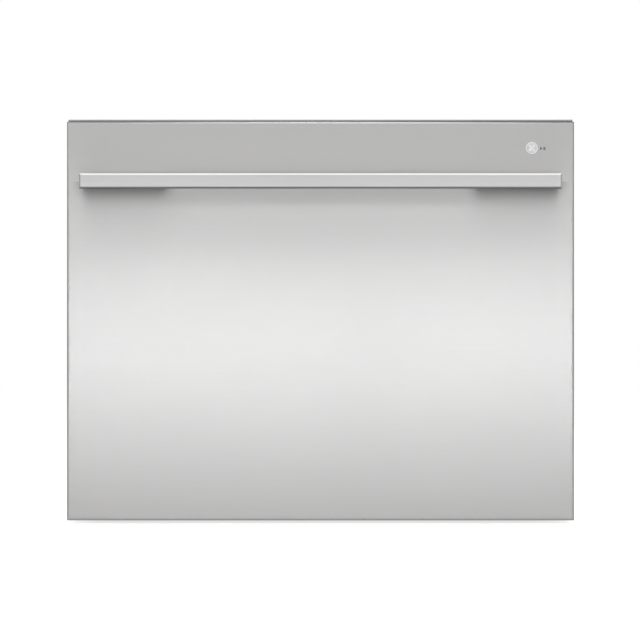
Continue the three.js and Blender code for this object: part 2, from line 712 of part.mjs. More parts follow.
// ---- Folding hose carrier ----------------------------------------------------------------------
// Channel between two hubs, open on top, drawn along +X from its first pivot.
function carrierArm(bottom, farHole) {
  const top = bottom + ARM_HEIGHT;
  const half = ARM_WIDTH / 2;
  const bar = block([0, ARM_LENGTH], [-half, half], [bottom, top]);
  const hubs = [0, ARM_LENGTH].map((x) => barrel(ARM_HUB, [bottom, top], [x, 0]));
  const channel = block(
    [ARM_HUB + 2, ARM_LENGTH - ARM_HUB - 2],
    [-half + ARM_WALL, half - ARM_WALL],
    [bottom + ARM_WALL, top + 1],
  );
  const nearHole = barrel(PIVOT_RADIUS + SEAT, [bottom - 1, top + 1]);
  let arm = cut(join(bar, ...hubs), channel, nearHole);
  if (farHole > 0) arm = cut(arm, barrel(farHole, [bottom - 1, top + 1], [ARM_LENGTH, 0]));
  return arm;
}

// The lower arm carries the pin of the elbow. The upper one ends in the drawer's loose pivot.
const elbowPin = barrel(PIVOT_RADIUS, [ARM_TOP - 1, UPPER_ARM_TOP], [ARM_LENGTH, 0]);
const lowerArm = new THREE.Group();
lowerArm.position.set(PIVOT_X, CABINET_PIVOT_Y, 0);
lowerArm.rotation.z = ARM_ANGLE;
part.add(lowerArm);
add('hose_arm_lower', join(carrierArm(ARM_BOTTOM, 0), elbowPin), greyPlastic, lowerArm);
const upperArm = new THREE.Group();
upperArm.position.set(ARM_LENGTH, 0, 0);
upperArm.rotation.z = Math.PI - 2 * ARM_ANGLE;
lowerArm.add(upperArm);
add('hose_arm_upper', carrierArm(UPPER_ARM_BOTTOM, PIVOT_RADIUS + PIVOT_SLOP), greyPlastic, upperArm);

// ---- Runners -----------------------------------------------------------------------------------
// Each member is a folded strip. The first number of a strip is its distance from the cabinet's
// side, and the second its height from the runner's centre line.
function runnerMember(side, strips, [y0, y1]) {
  const solids = strips.flatMap(([[u0, u1], [w0, w1]]) => {
    const xs = [side * (INNER_X - SEAT - u0), side * (INNER_X - SEAT - u1)];
    const upper = block(xs, [y0, y1], [RUNNER_CENTRE + w0, RUNNER_CENTRE + w1]);
    const lower = block(xs, [y0, y1], [RUNNER_CENTRE - w1, RUNNER_CENTRE - w0]);
    return [upper, lower];
  });
  return join(...solids);
}

const half = RUNNER_HEIGHT / 2;
const outerLip = half - RUNNER_STEEL;
const middleOut = outerLip - RUNNER_PLAY;
const middleIn = middleOut - 2 * RUNNER_STEEL - 0.6;
const innerOut = middleIn - RUNNER_PLAY;
const outerStrips = [
  [[0, RUNNER_STEEL], [-1, half]],
  [[0, 10], [outerLip, half]],
];
const middleStrips = [
  [[5, 5 + RUNNER_STEEL], [-1, middleOut]],
  [[2.5, 5 + RUNNER_STEEL], [middleOut - RUNNER_STEEL, middleOut]],
  [[5, 11], [middleIn, middleIn + RUNNER_STEEL]],
];
const innerStrips = [
  [[RUNNER_THICKNESS - RUNNER_STEEL, RUNNER_THICKNESS], [-1, innerOut]],
  [[8, RUNNER_THICKNESS], [innerOut - RUNNER_STEEL, innerOut]],
];
const runnerFront = CABINET_FRONT_Y + RUNNER_FRONT_INSET;
const runnerBack = BACK_Y - RUNNER_BACK_INSET;
for (const [label, side] of SIDES) {
  const fixed = runnerMember(side, outerStrips, [runnerFront, runnerBack]);
  const sliding = runnerMember(side, middleStrips, [runnerFront + 1, runnerBack - RUNNER_STEP - 1]);
  add(`runner_outer_${label}`, fixed, runnerSteel, cabinet);
  add(`runner_middle_${label}`, sliding, runnerSteel);
}

// ---- Lid ---------------------------------------------------------------------------------------
// Shallow upturned pan with four guide rods, and the rubber ring that closes on the tub's rim.
function lid() {
  const front = TUB_FRONT + SEAL_INSET;
  const back = TUB_BACK - SEAL_INSET;
  const outer = roundedSlab([-LID_X, LID_X], [front, back], [LID_BOTTOM, LID_TOP], TUB_CORNER);
  const edge = SEAL_WIDTH + 1;
  const hollow = roundedSlab(
    [-LID_X + edge, LID_X - edge],
    [front + edge, back - edge],
    [LID_BOTTOM - 1, LID_TOP - LID_SKIN],
    TUB_CORNER - edge,
  );
  const rods = SIDES.flatMap(([, side]) => [-1, 1].map((end) => barrel(
    LID_ROD,
    [LID_TOP - 1, TOP_INSIDE - LID_LIFT - 2 * SEAT],
    [side * ROD_X, TUB_MIDDLE + (end * ROD_PITCH) / 2],
  )));
  return join(cut(outer, hollow), ...rods);
}

function lidSeal() {
  const front = TUB_FRONT + SEAL_INSET;
  const back = TUB_BACK - SEAL_INSET;
  const heights = [SEAL_BOTTOM, SEAL_BOTTOM + SEAL_HEIGHT];
  const outer = roundedSlab([-LID_X, LID_X], [front, back], heights, TUB_CORNER);
  const inner = roundedSlab(
    [-LID_X + SEAL_WIDTH, LID_X - SEAL_WIDTH],
    [front + SEAL_WIDTH, back - SEAL_WIDTH],
    [heights[0] - 1, heights[1] + 1],
    TUB_CORNER - SEAL_WIDTH,
  );
  return cut(outer, inner);
}

add('lid', lid(), tubPlastic);
add('lid_seal', lidSeal(), blackRubber);

// ---- Tub ---------------------------------------------------------------------------------------
function heaterLegPlaces() {
  return [-1, 1].map((end) => {
    const angle = THREE.MathUtils.degToRad(225 + (end * HEATER_LEG_SPREAD) / 2);
    return [HEATER_RING * Math.cos(angle), TUB_MIDDLE + HEATER_RING * Math.sin(angle)];
  });
}

function tub() {
  const outer = roundedSlab([-TUB_X, TUB_X], [TUB_FRONT, TUB_BACK], [TUB_BOTTOM, TUB_RIM], TUB_CORNER);
  const rim = roundedSlab(
    [-TUB_X - RIM_WIDTH, TUB_X + RIM_WIDTH],
    [TUB_FRONT - RIM_WIDTH, TUB_BACK + RIM_WIDTH],
    [TUB_RIM - RIM_HEIGHT, TUB_RIM],
    TUB_CORNER + RIM_WIDTH,
  );
  const rails = SIDES.map(([, side]) => block(
    [side * (TUB_X - 1), side * RAIL_X],
    [runnerFront + 2, runnerBack - RUNNER_STEP],
    [RUNNER_CENTRE - innerOut, RUNNER_CENTRE + innerOut],
  ));
  const sump = barrel(SUMP_RADIUS + TUB_WALL, [SUMP_BOTTOM, TUB_BOTTOM + 1], [0, TUB_MIDDLE], 36);
  const wallX = TUB_X - TUB_WALL;
  const inside = roundedSlab(
    [-wallX, wallX],
    [TUB_FRONT + TUB_WALL, TUB_BACK - TUB_WALL],
    [TUB_FLOOR, TUB_RIM + 1],
    TUB_CORNER - TUB_WALL,
  );
  const well = barrel(SUMP_RADIUS, [SUMP_FLOOR, TUB_FLOOR + 1], [0, TUB_MIDDLE], 36);
  const spindleHole = barrel(SPINDLE_RADIUS + SEAT, [SUMP_BOTTOM - 1, SUMP_FLOOR + 1], [0, TUB_MIDDLE]);
  const legHoles = heaterLegPlaces().map((place) => barrel(
    HEATER_LEG + SEAT,
    [SUMP_BOTTOM - 1, SUMP_FLOOR + 1],
    place,
    12,
  ));
  const ledgeTop = RACK_FLOOR - WIRE / 2 - SEAT;
  const ledgeStarts = [RACK_FRONT + LEDGE_INSET, RACK_BACK - LEDGE_INSET - LEDGE_LENGTH];
  const ledges = SIDES.flatMap(([, side]) => ledgeStarts.map((y) => block(
    [side * (wallX - LEDGE_WIDTH), side * (wallX + 1)],
    [y, y + LEDGE_LENGTH],
    [ledgeTop - LEDGE_HEIGHT, ledgeTop],
  )));
  return join(cut(join(outer, rim, ...rails, sump), inside, well, spindleHole, ...legHoles), ...ledges);
}

// ---- Pump, spray arm, filters and heater -------------------------------------------------------
// The pump sits under the sump. Its outlet is the hollow spindle that the spray arm turns on.
function pumpHousing() {
  const outer = barrel(PUMP_RADIUS, [PUMP_BOTTOM, PUMP_TOP], [0, TUB_MIDDLE], 28);
  const spindle = barrel(SPINDLE_RADIUS, [PUMP_TOP - 1, SPINDLE_TOP], [0, TUB_MIDDLE]);
  const chamber = barrel(
    PUMP_RADIUS - PUMP_WALL,
    [PUMP_BOTTOM + PUMP_WALL, PUMP_TOP - PUMP_WALL],
    [0, TUB_MIDDLE],
    28,
  );
  const bore = barrel(SPINDLE_BORE, [PUMP_TOP - PUMP_WALL - 1, SPINDLE_TOP + 1], [0, TUB_MIDDLE]);
  const pinTop = PUMP_BOTTOM + PUMP_WALL + ROTOR_HEIGHT;
  const pin = barrel(PIN_RADIUS, [PUMP_BOTTOM + 1, pinTop], [0, TUB_MIDDLE], 16);
  return join(cut(join(outer, spindle), chamber, bore), pin);
}

function pumpRotor() {
  const bottom = PUMP_BOTTOM + PUMP_WALL + SEAT;
  const disc = barrel(ROTOR_RADIUS, [bottom, bottom + 4], [0, 0], 32);
  const hub = barrel(PIN_RADIUS + 6, [bottom, bottom + ROTOR_HEIGHT], [0, 0], 20);
  const vanes = Array.from({ length: VANE_COUNT }, (_, i) => {
    const heights = [bottom + 3, bottom + ROTOR_HEIGHT - 2];
    const blade = block([PIN_RADIUS + 4, ROTOR_RADIUS - 1], [-1.5, 1.5], heights);
    return blade.rotate([0, 0, (i * 360) / VANE_COUNT]);
  });
  const bore = barrel(PIN_RADIUS + SEAT, [bottom - 1, bottom + ROTOR_HEIGHT + 1], [0, 0], 16);
  return cut(join(disc, hub, ...vanes), bore);
}

// Two tapering wings on a hub that is closed above the spindle's mouth.
function sprayArm() {
  const reach = Math.min(TUB_X, (TUB_BACK - TUB_FRONT) / 2) - TUB_WALL - SPRAY_CLEARANCE;
  const root = SPRAY_ROOT_WIDTH / 2;
  const tip = SPRAY_TIP_WIDTH / 2;
  const wings = new THREE.Shape();
  wings.moveTo(0, -root);
  wings.lineTo(reach - tip, -tip);
  wings.absarc(reach - tip, 0, tip, -Math.PI / 2, Math.PI / 2);
  wings.lineTo(0, root);
  wings.lineTo(tip - reach, tip);
  wings.absarc(tip - reach, 0, tip, Math.PI / 2, 1.5 * Math.PI);
  wings.closePath();
  const top = SPRAY_BOTTOM + SPRAY_THICKNESS;
  const hubBottom = SPRAY_BOTTOM - SPRAY_HUB_DROP;
  const bore = SPINDLE_RADIUS + SEAT;
  const boreTop = SPINDLE_TOP + SEAT;
  const hub = turned([
    [0, hubBottom], [SPRAY_HUB - 3, hubBottom], [SPRAY_HUB, SPRAY_BOTTOM], [SPRAY_HUB, top],
    [SPRAY_HUB - 8, top + 3], [0, top + 3],
  ]);
  const socket = barrel(bore, [hubBottom - 1, boreTop]);
  return cut(join(slab(wings, [SPRAY_BOTTOM, top]), hub), socket);
}

function heater() {
  const height = SUMP_FLOOR + SEAT + HEATER_TUBE;
  const ring = new THREE.TorusGeometry(HEATER_RING, HEATER_TUBE, 6, 24);
  ring.translate(0, TUB_MIDDLE, height);
  const legs = heaterLegPlaces().map((place) => barrel(HEATER_LEG, [SUMP_BOTTOM - 8, height], place, 12));
  return join(toSolid(ring), ...legs);
}

function filterPlate() {
  const zs = [TUB_FLOOR + SEAT, FILTER_TOP];
  const through = [zs[0] - 1, zs[1] + 1];
  const plate = barrel(FILTER_RADIUS, zs, [0, TUB_MIDDLE], 36);
  const spindleHole = barrel(SPINDLE_RADIUS + SEAT, through, [0, TUB_MIDDLE]);
  const strainerHole = barrel(STRAINER_RADIUS + SEAT, through, [STRAINER_X, STRAINER_Y], 32);
  return cut(plate, spindleHole, strainerHole);
}

// Cup that hangs in the filter plate by its flange, with a grip across its mouth.
function strainer() {
  const bottom = SUMP_FLOOR + 2 * SEAT;
  const seat = FILTER_TOP + SEAT;
  const inner = STRAINER_RADIUS - STRAINER_WALL;
  const cup = turned([
    [0, bottom], [STRAINER_RADIUS, bottom], [STRAINER_RADIUS, seat], [STRAINER_FLANGE, seat],
    [STRAINER_FLANGE, seat + STRAINER_WALL], [inner, seat + STRAINER_WALL],
    [inner, bottom + STRAINER_WALL], [0, bottom + STRAINER_WALL],
  ]);
  const gripTop = seat + STRAINER_WALL + STRAINER_GRIP_HEIGHT;
  const grip = block([-inner - 1, inner + 1], [-3, 3], [seat, gripTop]);
  return join(cup, grip);
}

// ---- Drying fan, controller and carrier bracket ------------------------------------------------
const FAN_X = FAN_SIDE_INSET - TUB_X;
const FAN_Y = TUB_MIDDLE - SUMP_RADIUS - FAN_SUMP_GAP;
const FAN_BOTTOM = TUB_BOTTOM - SEAT - FAN_HEIGHT - 4;

function fanHousing() {
  const top = FAN_BOTTOM + FAN_HEIGHT;
  const drum = barrel(FAN_RADIUS, [FAN_BOTTOM, top], [FAN_X, FAN_Y], 32);
  const duct = block([FAN_X, FAN_X + FAN_RADIUS + 14], [FAN_Y, FAN_Y + FAN_RADIUS], [FAN_BOTTOM, top]);
  const pad = block([FAN_X - 20, FAN_X + 20], [FAN_Y - 20, FAN_Y + 20], [top - 1, TUB_BOTTOM - SEAT]);
  const chamber = barrel(FAN_RADIUS - FAN_WALL, [FAN_BOTTOM + FAN_WALL, top - FAN_WALL], [FAN_X, FAN_Y], 32);
  const ductBore = block(
    [FAN_X, FAN_X + FAN_RADIUS + 15],
    [FAN_Y + FAN_WALL, FAN_Y + FAN_RADIUS - FAN_WALL],
    [FAN_BOTTOM + FAN_WALL, top - FAN_WALL],
  );
  const inlet = barrel(FAN_INLET, [FAN_BOTTOM - 1, FAN_BOTTOM + FAN_WALL + 1], [FAN_X, FAN_Y]);
  const pin = barrel(PIN_RADIUS, [FAN_BOTTOM + 8, top - 1], [FAN_X, FAN_Y], 16);
  return join(cut(join(drum, duct, pad), chamber, ductBore, inlet), pin);
}

function fanImpeller() {
  const top = FAN_BOTTOM + FAN_HEIGHT - FAN_WALL - SEAT;
  const bottom = top - IMPELLER_HEIGHT;
  const disc = barrel(IMPELLER_RADIUS, [top - 2, top], [0, 0], 32);
  const hub = barrel(PIN_RADIUS + 5, [bottom, top], [0, 0], 20);
  const blades = Array.from({ length: BLADE_COUNT }, (_, i) => {
    const blade = block([IMPELLER_RADIUS - 12, IMPELLER_RADIUS - 1], [-0.8, 0.8], [bottom, top - 1]);
    return blade.rotate([0, 0, (i * 360) / BLADE_COUNT]);
  });
  const bore = barrel(PIN_RADIUS + SEAT, [bottom - 1, top + 1], [0, 0], 16);
  return cut(join(disc, hub, ...blades), bore);
}

function controllerBox() {
  const [width, length, height] = CONTROLLER_SIZE;
  const right = TUB_X - CONTROLLER_SIDE_INSET;
  const front = TUB_MIDDLE - CONTROLLER_SETBACK - length;
  const top = TUB_BOTTOM - SEAT - 6;
  const body = roundedSlab([right - width, right], [front, front + length], [top - height, top], 6);
  const posts = [right - width + 12, right - 12].flatMap((x) => [front + 12, front + length - 12].map(
    (y) => barrel(6, [top - 1, TUB_BOTTOM - SEAT], [x, y], 12),
  ));
  return join(body, ...posts);
}

// Bracket under the tub's back edge, whose post turns in the carrier's last pivot.
function hoseBracket() {
  const reach = BRACKET_SIZE / 2;
  const column = roundedSlab(
    [PIVOT_X - reach, PIVOT_X + reach],
    [DRAWER_PIVOT_Y - reach, DRAWER_PIVOT_Y + reach],
    [UPPER_ARM_TOP + SEAT, TUB_BOTTOM - SEAT],
    6,
  );
  const post = barrel(PIVOT_RADIUS, [UPPER_ARM_BOTTOM + 1, UPPER_ARM_TOP + 1], [PIVOT_X, DRAWER_PIVOT_Y]);
  return join(column, post);
}

const drawer = new THREE.Group();
part.add(drawer);
add('tub', tub(), tubPlastic, drawer);
for (const [label, side] of SIDES) {
  const member = runnerMember(side, innerStrips, [runnerFront + 2, runnerBack - RUNNER_STEP]);
  add(`runner_inner_${label}`, member, runnerSteel, drawer);
}
add('pump_housing', pumpHousing(), darkPlastic, drawer);
add('pump_rotor', pumpRotor(), greyPlastic, drawer).position.set(0, TUB_MIDDLE, 0);
add('spray_arm', sprayArm(), greyPlastic, drawer).position.set(0, TUB_MIDDLE, 0);
add('heater', heater(), heaterSteel, drawer);
add('filter_plate', filterPlate(), runnerSteel, drawer);
add('drain_filter', strainer(), greyPlastic, drawer).position.set(STRAINER_X, STRAINER_Y, 0);
add('fan_housing', fanHousing(), darkPlastic, drawer);
add('fan_impeller', fanImpeller(), greyPlastic, drawer).position.set(FAN_X, FAN_Y, 0);
add('controller_box', controllerBox(), darkPlastic, drawer);
add('hose_bracket', hoseBracket(), darkPlastic, drawer);

// ---- Door --------------------------------------------------------------------------------------
function studPlaces() {
  return SIDES.flatMap(([, side]) => {
    const middle = side * (BAR_X - STANDOFF_WIDTH / 2);
    return [middle - STUD_PITCH / 2, middle + STUD_PITCH / 2];
  });
}

// Sheet steel pan: a flat face with its four sides folded back.
function doorSkin() {
  const back = PANEL_FRONT_Y + SKIN_RETURN;
  const outer = easedPlate(
    [-HALF_PANEL, HALF_PANEL],
    [PANEL_FRONT_Y, back + 2 * SKIN_BEND],
    [PANEL_BOTTOM, PANEL_TOP],
    SKIN_BEND,
    4,
  );
  const inner = easedPlate(
    [-HALF_PANEL + SKIN, HALF_PANEL - SKIN],
    [PANEL_FRONT_Y + SKIN, back + 4 * SKIN_BEND],
    [PANEL_BOTTOM + SKIN, PANEL_TOP - SKIN],
    SKIN_BEND - SKIN,
    4,
  );
  const trim = block(
    [-PANEL_WIDTH, PANEL_WIDTH],
    [back, back + 6 * SKIN_BEND],
    [PANEL_BOTTOM - 1, PANEL_TOP + 1],
  );
  const through = [PANEL_FRONT_Y - 1, PANEL_FRONT_Y + SKIN + 1];
  const buttonHole = barrelY(BEZEL_BARREL + SEAT, through, [BUTTON_X, BUTTON_Z]);
  const studHoles = studPlaces().map((x) => barrelY(STUD_RADIUS + SEAT, through, [x, BAR_Z], 12));
  return cut(outer, inner, trim, buttonHole, ...studHoles);
}

// Moulded pan that fills the steel one, with stiffening ribs and a hollow spacer to the tub.
function doorCarrier() {
  const x = HALF_PANEL - SKIN - SEAT;
  const bottom = PANEL_BOTTOM + SKIN + SEAT;
  const top = PANEL_TOP - SKIN - SEAT;
  const front = PANEL_FRONT_Y + SKIN_BEND;
  const outer = block([-x, x], [front, DOOR_BACK_Y], [bottom, top]);
  const hollow = block(
    [-x + CARRIER_WALL, x - CARRIER_WALL],
    [front - 1, DOOR_BACK_Y - CARRIER_WALL],
    [bottom + CARRIER_WALL, top - CARRIER_WALL],
  );
  const ribY = [front + 3, DOOR_BACK_Y - 1];
  const rib = RIB_THICKNESS / 2;
  const uprights = spread(-x, x, RIB_PITCH).slice(1, -1).map(
    (ribX) => block([ribX - rib, ribX + rib], ribY, [bottom, top]),
  );
  const levels = spread(bottom, top, RIB_PITCH).slice(1, -1).map(
    (ribZ) => block([-x, x], ribY, [ribZ - rib, ribZ + rib]),
  );
  const posts = [-1, 1].map((end) => barrelY(
    3,
    [boardBack() + SEAT, DOOR_BACK_Y - 1],
    [BUTTON_X + (end * (BOARD_WIDTH - 12)) / 2, BUTTON_Z],
    12,
  ));
  const spacerX = TUB_X - SPACER_INSET;
  const spacerY = [DOOR_BACK_Y - 1, TUB_FRONT - SEAT];
  const spacerZ = [TUB_BOTTOM + SPACER_INSET, TUB_RIM - RIM_HEIGHT - SPACER_INSET / 2];
  const spacer = cut(
    block([-spacerX, spacerX], spacerY, spacerZ),
    block(
      [-spacerX + SPACER_WALL, spacerX - SPACER_WALL],
      [DOOR_BACK_Y, spacerY[1] + 1],
      [spacerZ[0] + SPACER_WALL, spacerZ[1] - SPACER_WALL],
    ),
  );
  const studHoles = studPlaces().map((studX) => barrelY(
    STUD_RADIUS + SEAT,
    [PANEL_FRONT_Y, CABINET_FRONT_Y],
    [studX, BAR_Z],
    12,
  ));
  const boardRoom = block(
    [BUTTON_X - BOARD_WIDTH / 2 - 1, BUTTON_X + BOARD_WIDTH / 2 + 1],
    [front - 1, boardBack() + SEAT],
    [BUTTON_Z - BOARD_HEIGHT / 2 - 1, BUTTON_Z + BOARD_HEIGHT / 2 + 1],
  );
  const pan = cut(join(cut(outer, hollow), ...uprights, ...levels), boardRoom);
  return cut(join(pan, ...posts, spacer), ...studHoles);
}

function boardBack() {
  return DOOR_BACK_Y - CARRIER_WALL - 2.5;
}

function buttonBack() {
  return PANEL_FRONT_Y + 6;
}

// Board behind the button, with the switch that the button's stem presses.
function buttonBoard() {
  const back = boardBack();
  const front = back - BOARD_THICKNESS;
  const board = block(
    [BUTTON_X - BOARD_WIDTH / 2, BUTTON_X + BOARD_WIDTH / 2],
    [front, back],
    [BUTTON_Z - BOARD_HEIGHT / 2, BUTTON_Z + BOARD_HEIGHT / 2],
  );
  const keyFront = buttonBack() + BUTTON_TRAVEL + SEAT;
  const key = block([BUTTON_X - 3, BUTTON_X + 3], [keyFront, front + 0.5], [BUTTON_Z - 3, BUTTON_Z + 3]);
  return join(board, key);
}

// Turned about Y, so the outline's heights are distances along Y from the panel's face.
function turnedAlongY(outline, sides) {
  return turned(outline, [0, 0], sides).rotate([-90, 0, 0]);
}

function buttonBezel() {
  const bore = BUTTON_RADIUS + SEAT;
  return turnedAlongY([
    [bore, 5], [bore, -BEZEL_PROUD + 0.3], [bore + 0.4, -BEZEL_PROUD], [BEZEL_RADIUS - 0.3, -BEZEL_PROUD],
    [BEZEL_RADIUS, -BEZEL_PROUD + 0.3], [BEZEL_RADIUS, -SEAT], [BEZEL_BARREL, -SEAT], [BEZEL_BARREL, 5],
    [bore, 5],
  ], 20);
}

function startButton() {
  return turnedAlongY([
    [0, -BUTTON_PROUD + 0.25], [BUTTON_RADIUS - 0.6, -BUTTON_PROUD], [BUTTON_RADIUS, -BUTTON_PROUD + 0.4],
    [BUTTON_RADIUS, 3], [2.2, 3], [2.2, buttonBack() - PANEL_FRONT_Y], [0, buttonBack() - PANEL_FRONT_Y],
  ], 20);
}

function topCap() {
  const x = HALF_PANEL - TOP_CAP_INSET;
  return block(
    [-x, x],
    [PANEL_FRONT_Y + SKIN_BEND, DOOR_BACK_Y],
    [PANEL_TOP + SEAT, PANEL_TOP + SEAT + TOP_CAP_HEIGHT],
  );
}

function handleBar() {
  const front = PANEL_FRONT_Y - HANDLE_REACH;
  const heights = [BAR_Z - BAR_HEIGHT / 2, BAR_Z + BAR_HEIGHT / 2];
  return easedPlate([-BAR_X, BAR_X], [front, front + BAR_THICKNESS], heights, BAR_BEVEL, 1);
}

// Block behind each end of the bar. Two studs go through the door to hold it.
function handleStandoff(side) {
  const back = PANEL_FRONT_Y - SEAT;
  const xs = [side * (BAR_X - BAR_BEVEL), side * (BAR_X - STANDOFF_WIDTH)];
  const body = block(
    xs,
    [PANEL_FRONT_Y - HANDLE_REACH + BAR_THICKNESS + SEAT, back],
    [BAR_Z - BAR_HEIGHT / 2 + STANDOFF_STEP, BAR_Z + BAR_HEIGHT / 2 - STANDOFF_STEP],
  );
  const studs = studPlaces().filter((x) => x * side > 0).map((x) => barrelY(
    STUD_RADIUS,
    [back - 1, back + STUD_LENGTH],
    [x, BAR_Z],
    12,
  ));
  return join(body, ...studs);
}

const door = new THREE.Group();
drawer.add(door);
add('door_skin', doorSkin(), brushedSteel, door);
add('door_carrier', doorCarrier(), greyPlastic, door);
add('door_top_cap', topCap(), greyPlastic, door);
add('handle_bar', handleBar(), satinBar, door);
for (const [label, side] of SIDES) add(`handle_standoff_${label}`, handleStandoff(side), satinBar, door);
const button = new THREE.Group();
button.position.set(BUTTON_X, PANEL_FRONT_Y, BUTTON_Z);
door.add(button);
add('button_bezel', buttonBezel(), polishedRing, button);
add('start_button', startButton(), brushedSteel, button);
add('button_board', buttonBoard(), boardGreen, door);

// ---- Dispenser ---------------------------------------------------------------------------------
const DISPENSER_BACK = TUB_FRONT + TUB_WALL + SEAT;
const DISPENSER_FACE = DISPENSER_BACK + DISPENSER_DEPTH;
const DISPENSER_BOTTOM = DISPENSER_TOP - DISPENSER_HEIGHT;
const CUP_LEFT = -DISPENSER_WIDTH / 2 + EAR_WIDTH + 5;
const CUP_BOTTOM = DISPENSER_BOTTOM + 11;
const FLAP_Y = DISPENSER_FACE + SEAT + FLAP_BARREL;
const FLAP_Z = CUP_BOTTOM - 3;
const CAP_X = DISPENSER_WIDTH / 2 - CAP_RADIUS - 5;
const CAP_Z = DISPENSER_BOTTOM + DISPENSER_HEIGHT / 2;

// Block on the tub's front wall with the detergent cup, the ears of its flap and the cap's hole.
function dispenserBody() {
  const body = block(
    [-DISPENSER_WIDTH / 2, DISPENSER_WIDTH / 2],
    [DISPENSER_BACK, DISPENSER_FACE],
    [DISPENSER_BOTTOM, DISPENSER_TOP],
  );
  const cup = block(
    [CUP_LEFT, CUP_LEFT + CUP_WIDTH],
    [DISPENSER_FACE - CUP_DEPTH, DISPENSER_FACE + 1],
    [CUP_BOTTOM, CUP_BOTTOM + CUP_HEIGHT],
  );
  const ears = [CUP_LEFT - EAR_WIDTH - 1, CUP_LEFT + CUP_WIDTH + 1].map((x) => block(
    [x, x + EAR_WIDTH],
    [DISPENSER_FACE - 1, FLAP_Y + FLAP_BARREL],
    [FLAP_Z - FLAP_BARREL, FLAP_Z + FLAP_BARREL],
  ));
  const pinHole = barrelX(
    FLAP_PIN + SEAT,
    [CUP_LEFT - EAR_WIDTH - 2, CUP_LEFT + CUP_WIDTH + EAR_WIDTH + 2],
    [FLAP_Y, FLAP_Z],
    12,
  );
  const capHole = barrelY(
    CAP_STEM + SEAT,
    [DISPENSER_FACE - 18, DISPENSER_FACE + 1],
    [CAP_X, CAP_Z],
  );
  return cut(join(cut(body, cup), ...ears), pinHole, capHole);
}

// Flap over the cup, drawn with its hinge pin along X through the origin.
function dispenserFlap() {
  const width = [CUP_LEFT - 1 + SEAT, CUP_LEFT + CUP_WIDTH + 1 - SEAT];
  const plate = block(
    width,
    [-FLAP_BARREL, FLAP_THICKNESS - FLAP_BARREL],
    [0, CUP_BOTTOM + CUP_HEIGHT + 3 - FLAP_Z],
  );
  const barrelPart = barrelX(FLAP_BARREL, width, [0, 0], 12);
  const pin = barrelX(FLAP_PIN, [width[0] - 4, width[1] + 4], [0, 0], 12);
  return join(plate, barrelPart, pin);
}

function rinseAidCap() {
  const disc = barrelY(CAP_RADIUS, [SEAT, SEAT + CAP_HEIGHT]);
  const stem = barrelY(CAP_STEM, [-15, SEAT + 1]);
  const grip = block([-CAP_RADIUS + 3, CAP_RADIUS - 3], [SEAT + 1, SEAT + CAP_HEIGHT + 5], [-2.5, 2.5]);
  return join(disc, stem, grip);
}

const dispenser = new THREE.Group();
drawer.add(dispenser);
add('dispenser_body', dispenserBody(), greyPlastic, dispenser);
add('dispenser_flap', dispenserFlap(), greyPlastic, dispenser).position.set(0, FLAP_Y, FLAP_Z);
add('rinse_aid_cap', rinseAidCap(), darkPlastic, dispenser).position.set(CAP_X, DISPENSER_FACE, CAP_Z);

// ---- Rack --------------------------------------------------------------------------------------

function wireX([x0, x1], y, z) {
  return block([x0, x1], [y - WIRE / 2, y + WIRE / 2], [z - WIRE / 2, z + WIRE / 2]);
}

function wireY(x, [y0, y1], z) {
  return block([x - WIRE / 2, x + WIRE / 2], [y0, y1], [z - WIRE / 2, z + WIRE / 2]);
}

function wireZ(x, y, [z0, z1]) {
  return block([x - WIRE / 2, x + WIRE / 2], [y - WIRE / 2, y + WIRE / 2], [z0, z1]);
}

// Grid of crossing wires: one flat sheet with the gaps between the wires cut out.
function rackFloor() {
  const edge = WIRE / 2;
  const xs = spread(-RACK_X, RACK_X, FLOOR_PITCH);
  const ys = spread(RACK_FRONT, RACK_BACK, FLOOR_PITCH);
  const gaps = xs.slice(1).flatMap((x, i) => ys.slice(1).map((y, j) => block(
    [xs[i] + edge, x - edge],
    [ys[j] + edge, y - edge],
    [RACK_FLOOR - WIRE, RACK_FLOOR + WIRE],
  )));
  const sheet = block(
    [-RACK_X - edge, RACK_X + edge],
    [RACK_FRONT - edge, RACK_BACK + edge],
    [RACK_FLOOR - edge, RACK_FLOOR + edge],
  );
  return cut(sheet, ...gaps);
}

// Side wall of the rack: a top wire, a middle wire and upright ones.
function rackSide(side) {
  const x = side * RACK_X;
  const ys = [RACK_FRONT + WIRE / 2 + SEAT, RACK_BACK - WIRE / 2 - SEAT];
  const levels = [RACK_TOP, (RACK_FLOOR + RACK_TOP) / 2].map((z) => wireY(x, ys, z));
  const posts = spread(ys[0] + WIRE / 2, ys[1] - WIRE / 2, POST_PITCH).map(
    (y) => wireZ(x, y, [RACK_FLOOR_TOP + SEAT, RACK_TOP]),
  );
  return join(...levels, ...posts);
}

function rackEnd(y) {
  const xs = [-RACK_X - WIRE / 2, RACK_X + WIRE / 2];
  const levels = [RACK_TOP, (RACK_FLOOR + RACK_TOP) / 2].map((z) => wireX(xs, y, z));
  const posts = spread(xs[0] + WIRE / 2, xs[1] - WIRE / 2, POST_PITCH).map(
    (x) => wireZ(x, y, [RACK_FLOOR_TOP + SEAT, RACK_TOP]),
  );
  return join(...levels, ...posts);
}

// Rod with upright tines, drawn with the rod along X through the origin.
function tineRow() {
  const last = (TINE_COUNT - 1) * TINE_PITCH;
  const rod = barrelX(ROD_RADIUS, [-8, last + 8], [0, 0], 6);
  const tines = Array.from({ length: TINE_COUNT }, (_, i) => barrel(
    TINE_RADIUS,
    [0, TINE_HEIGHT],
    [i * TINE_PITCH, 0],
    6,
  ));
  return join(rod, ...tines);
}

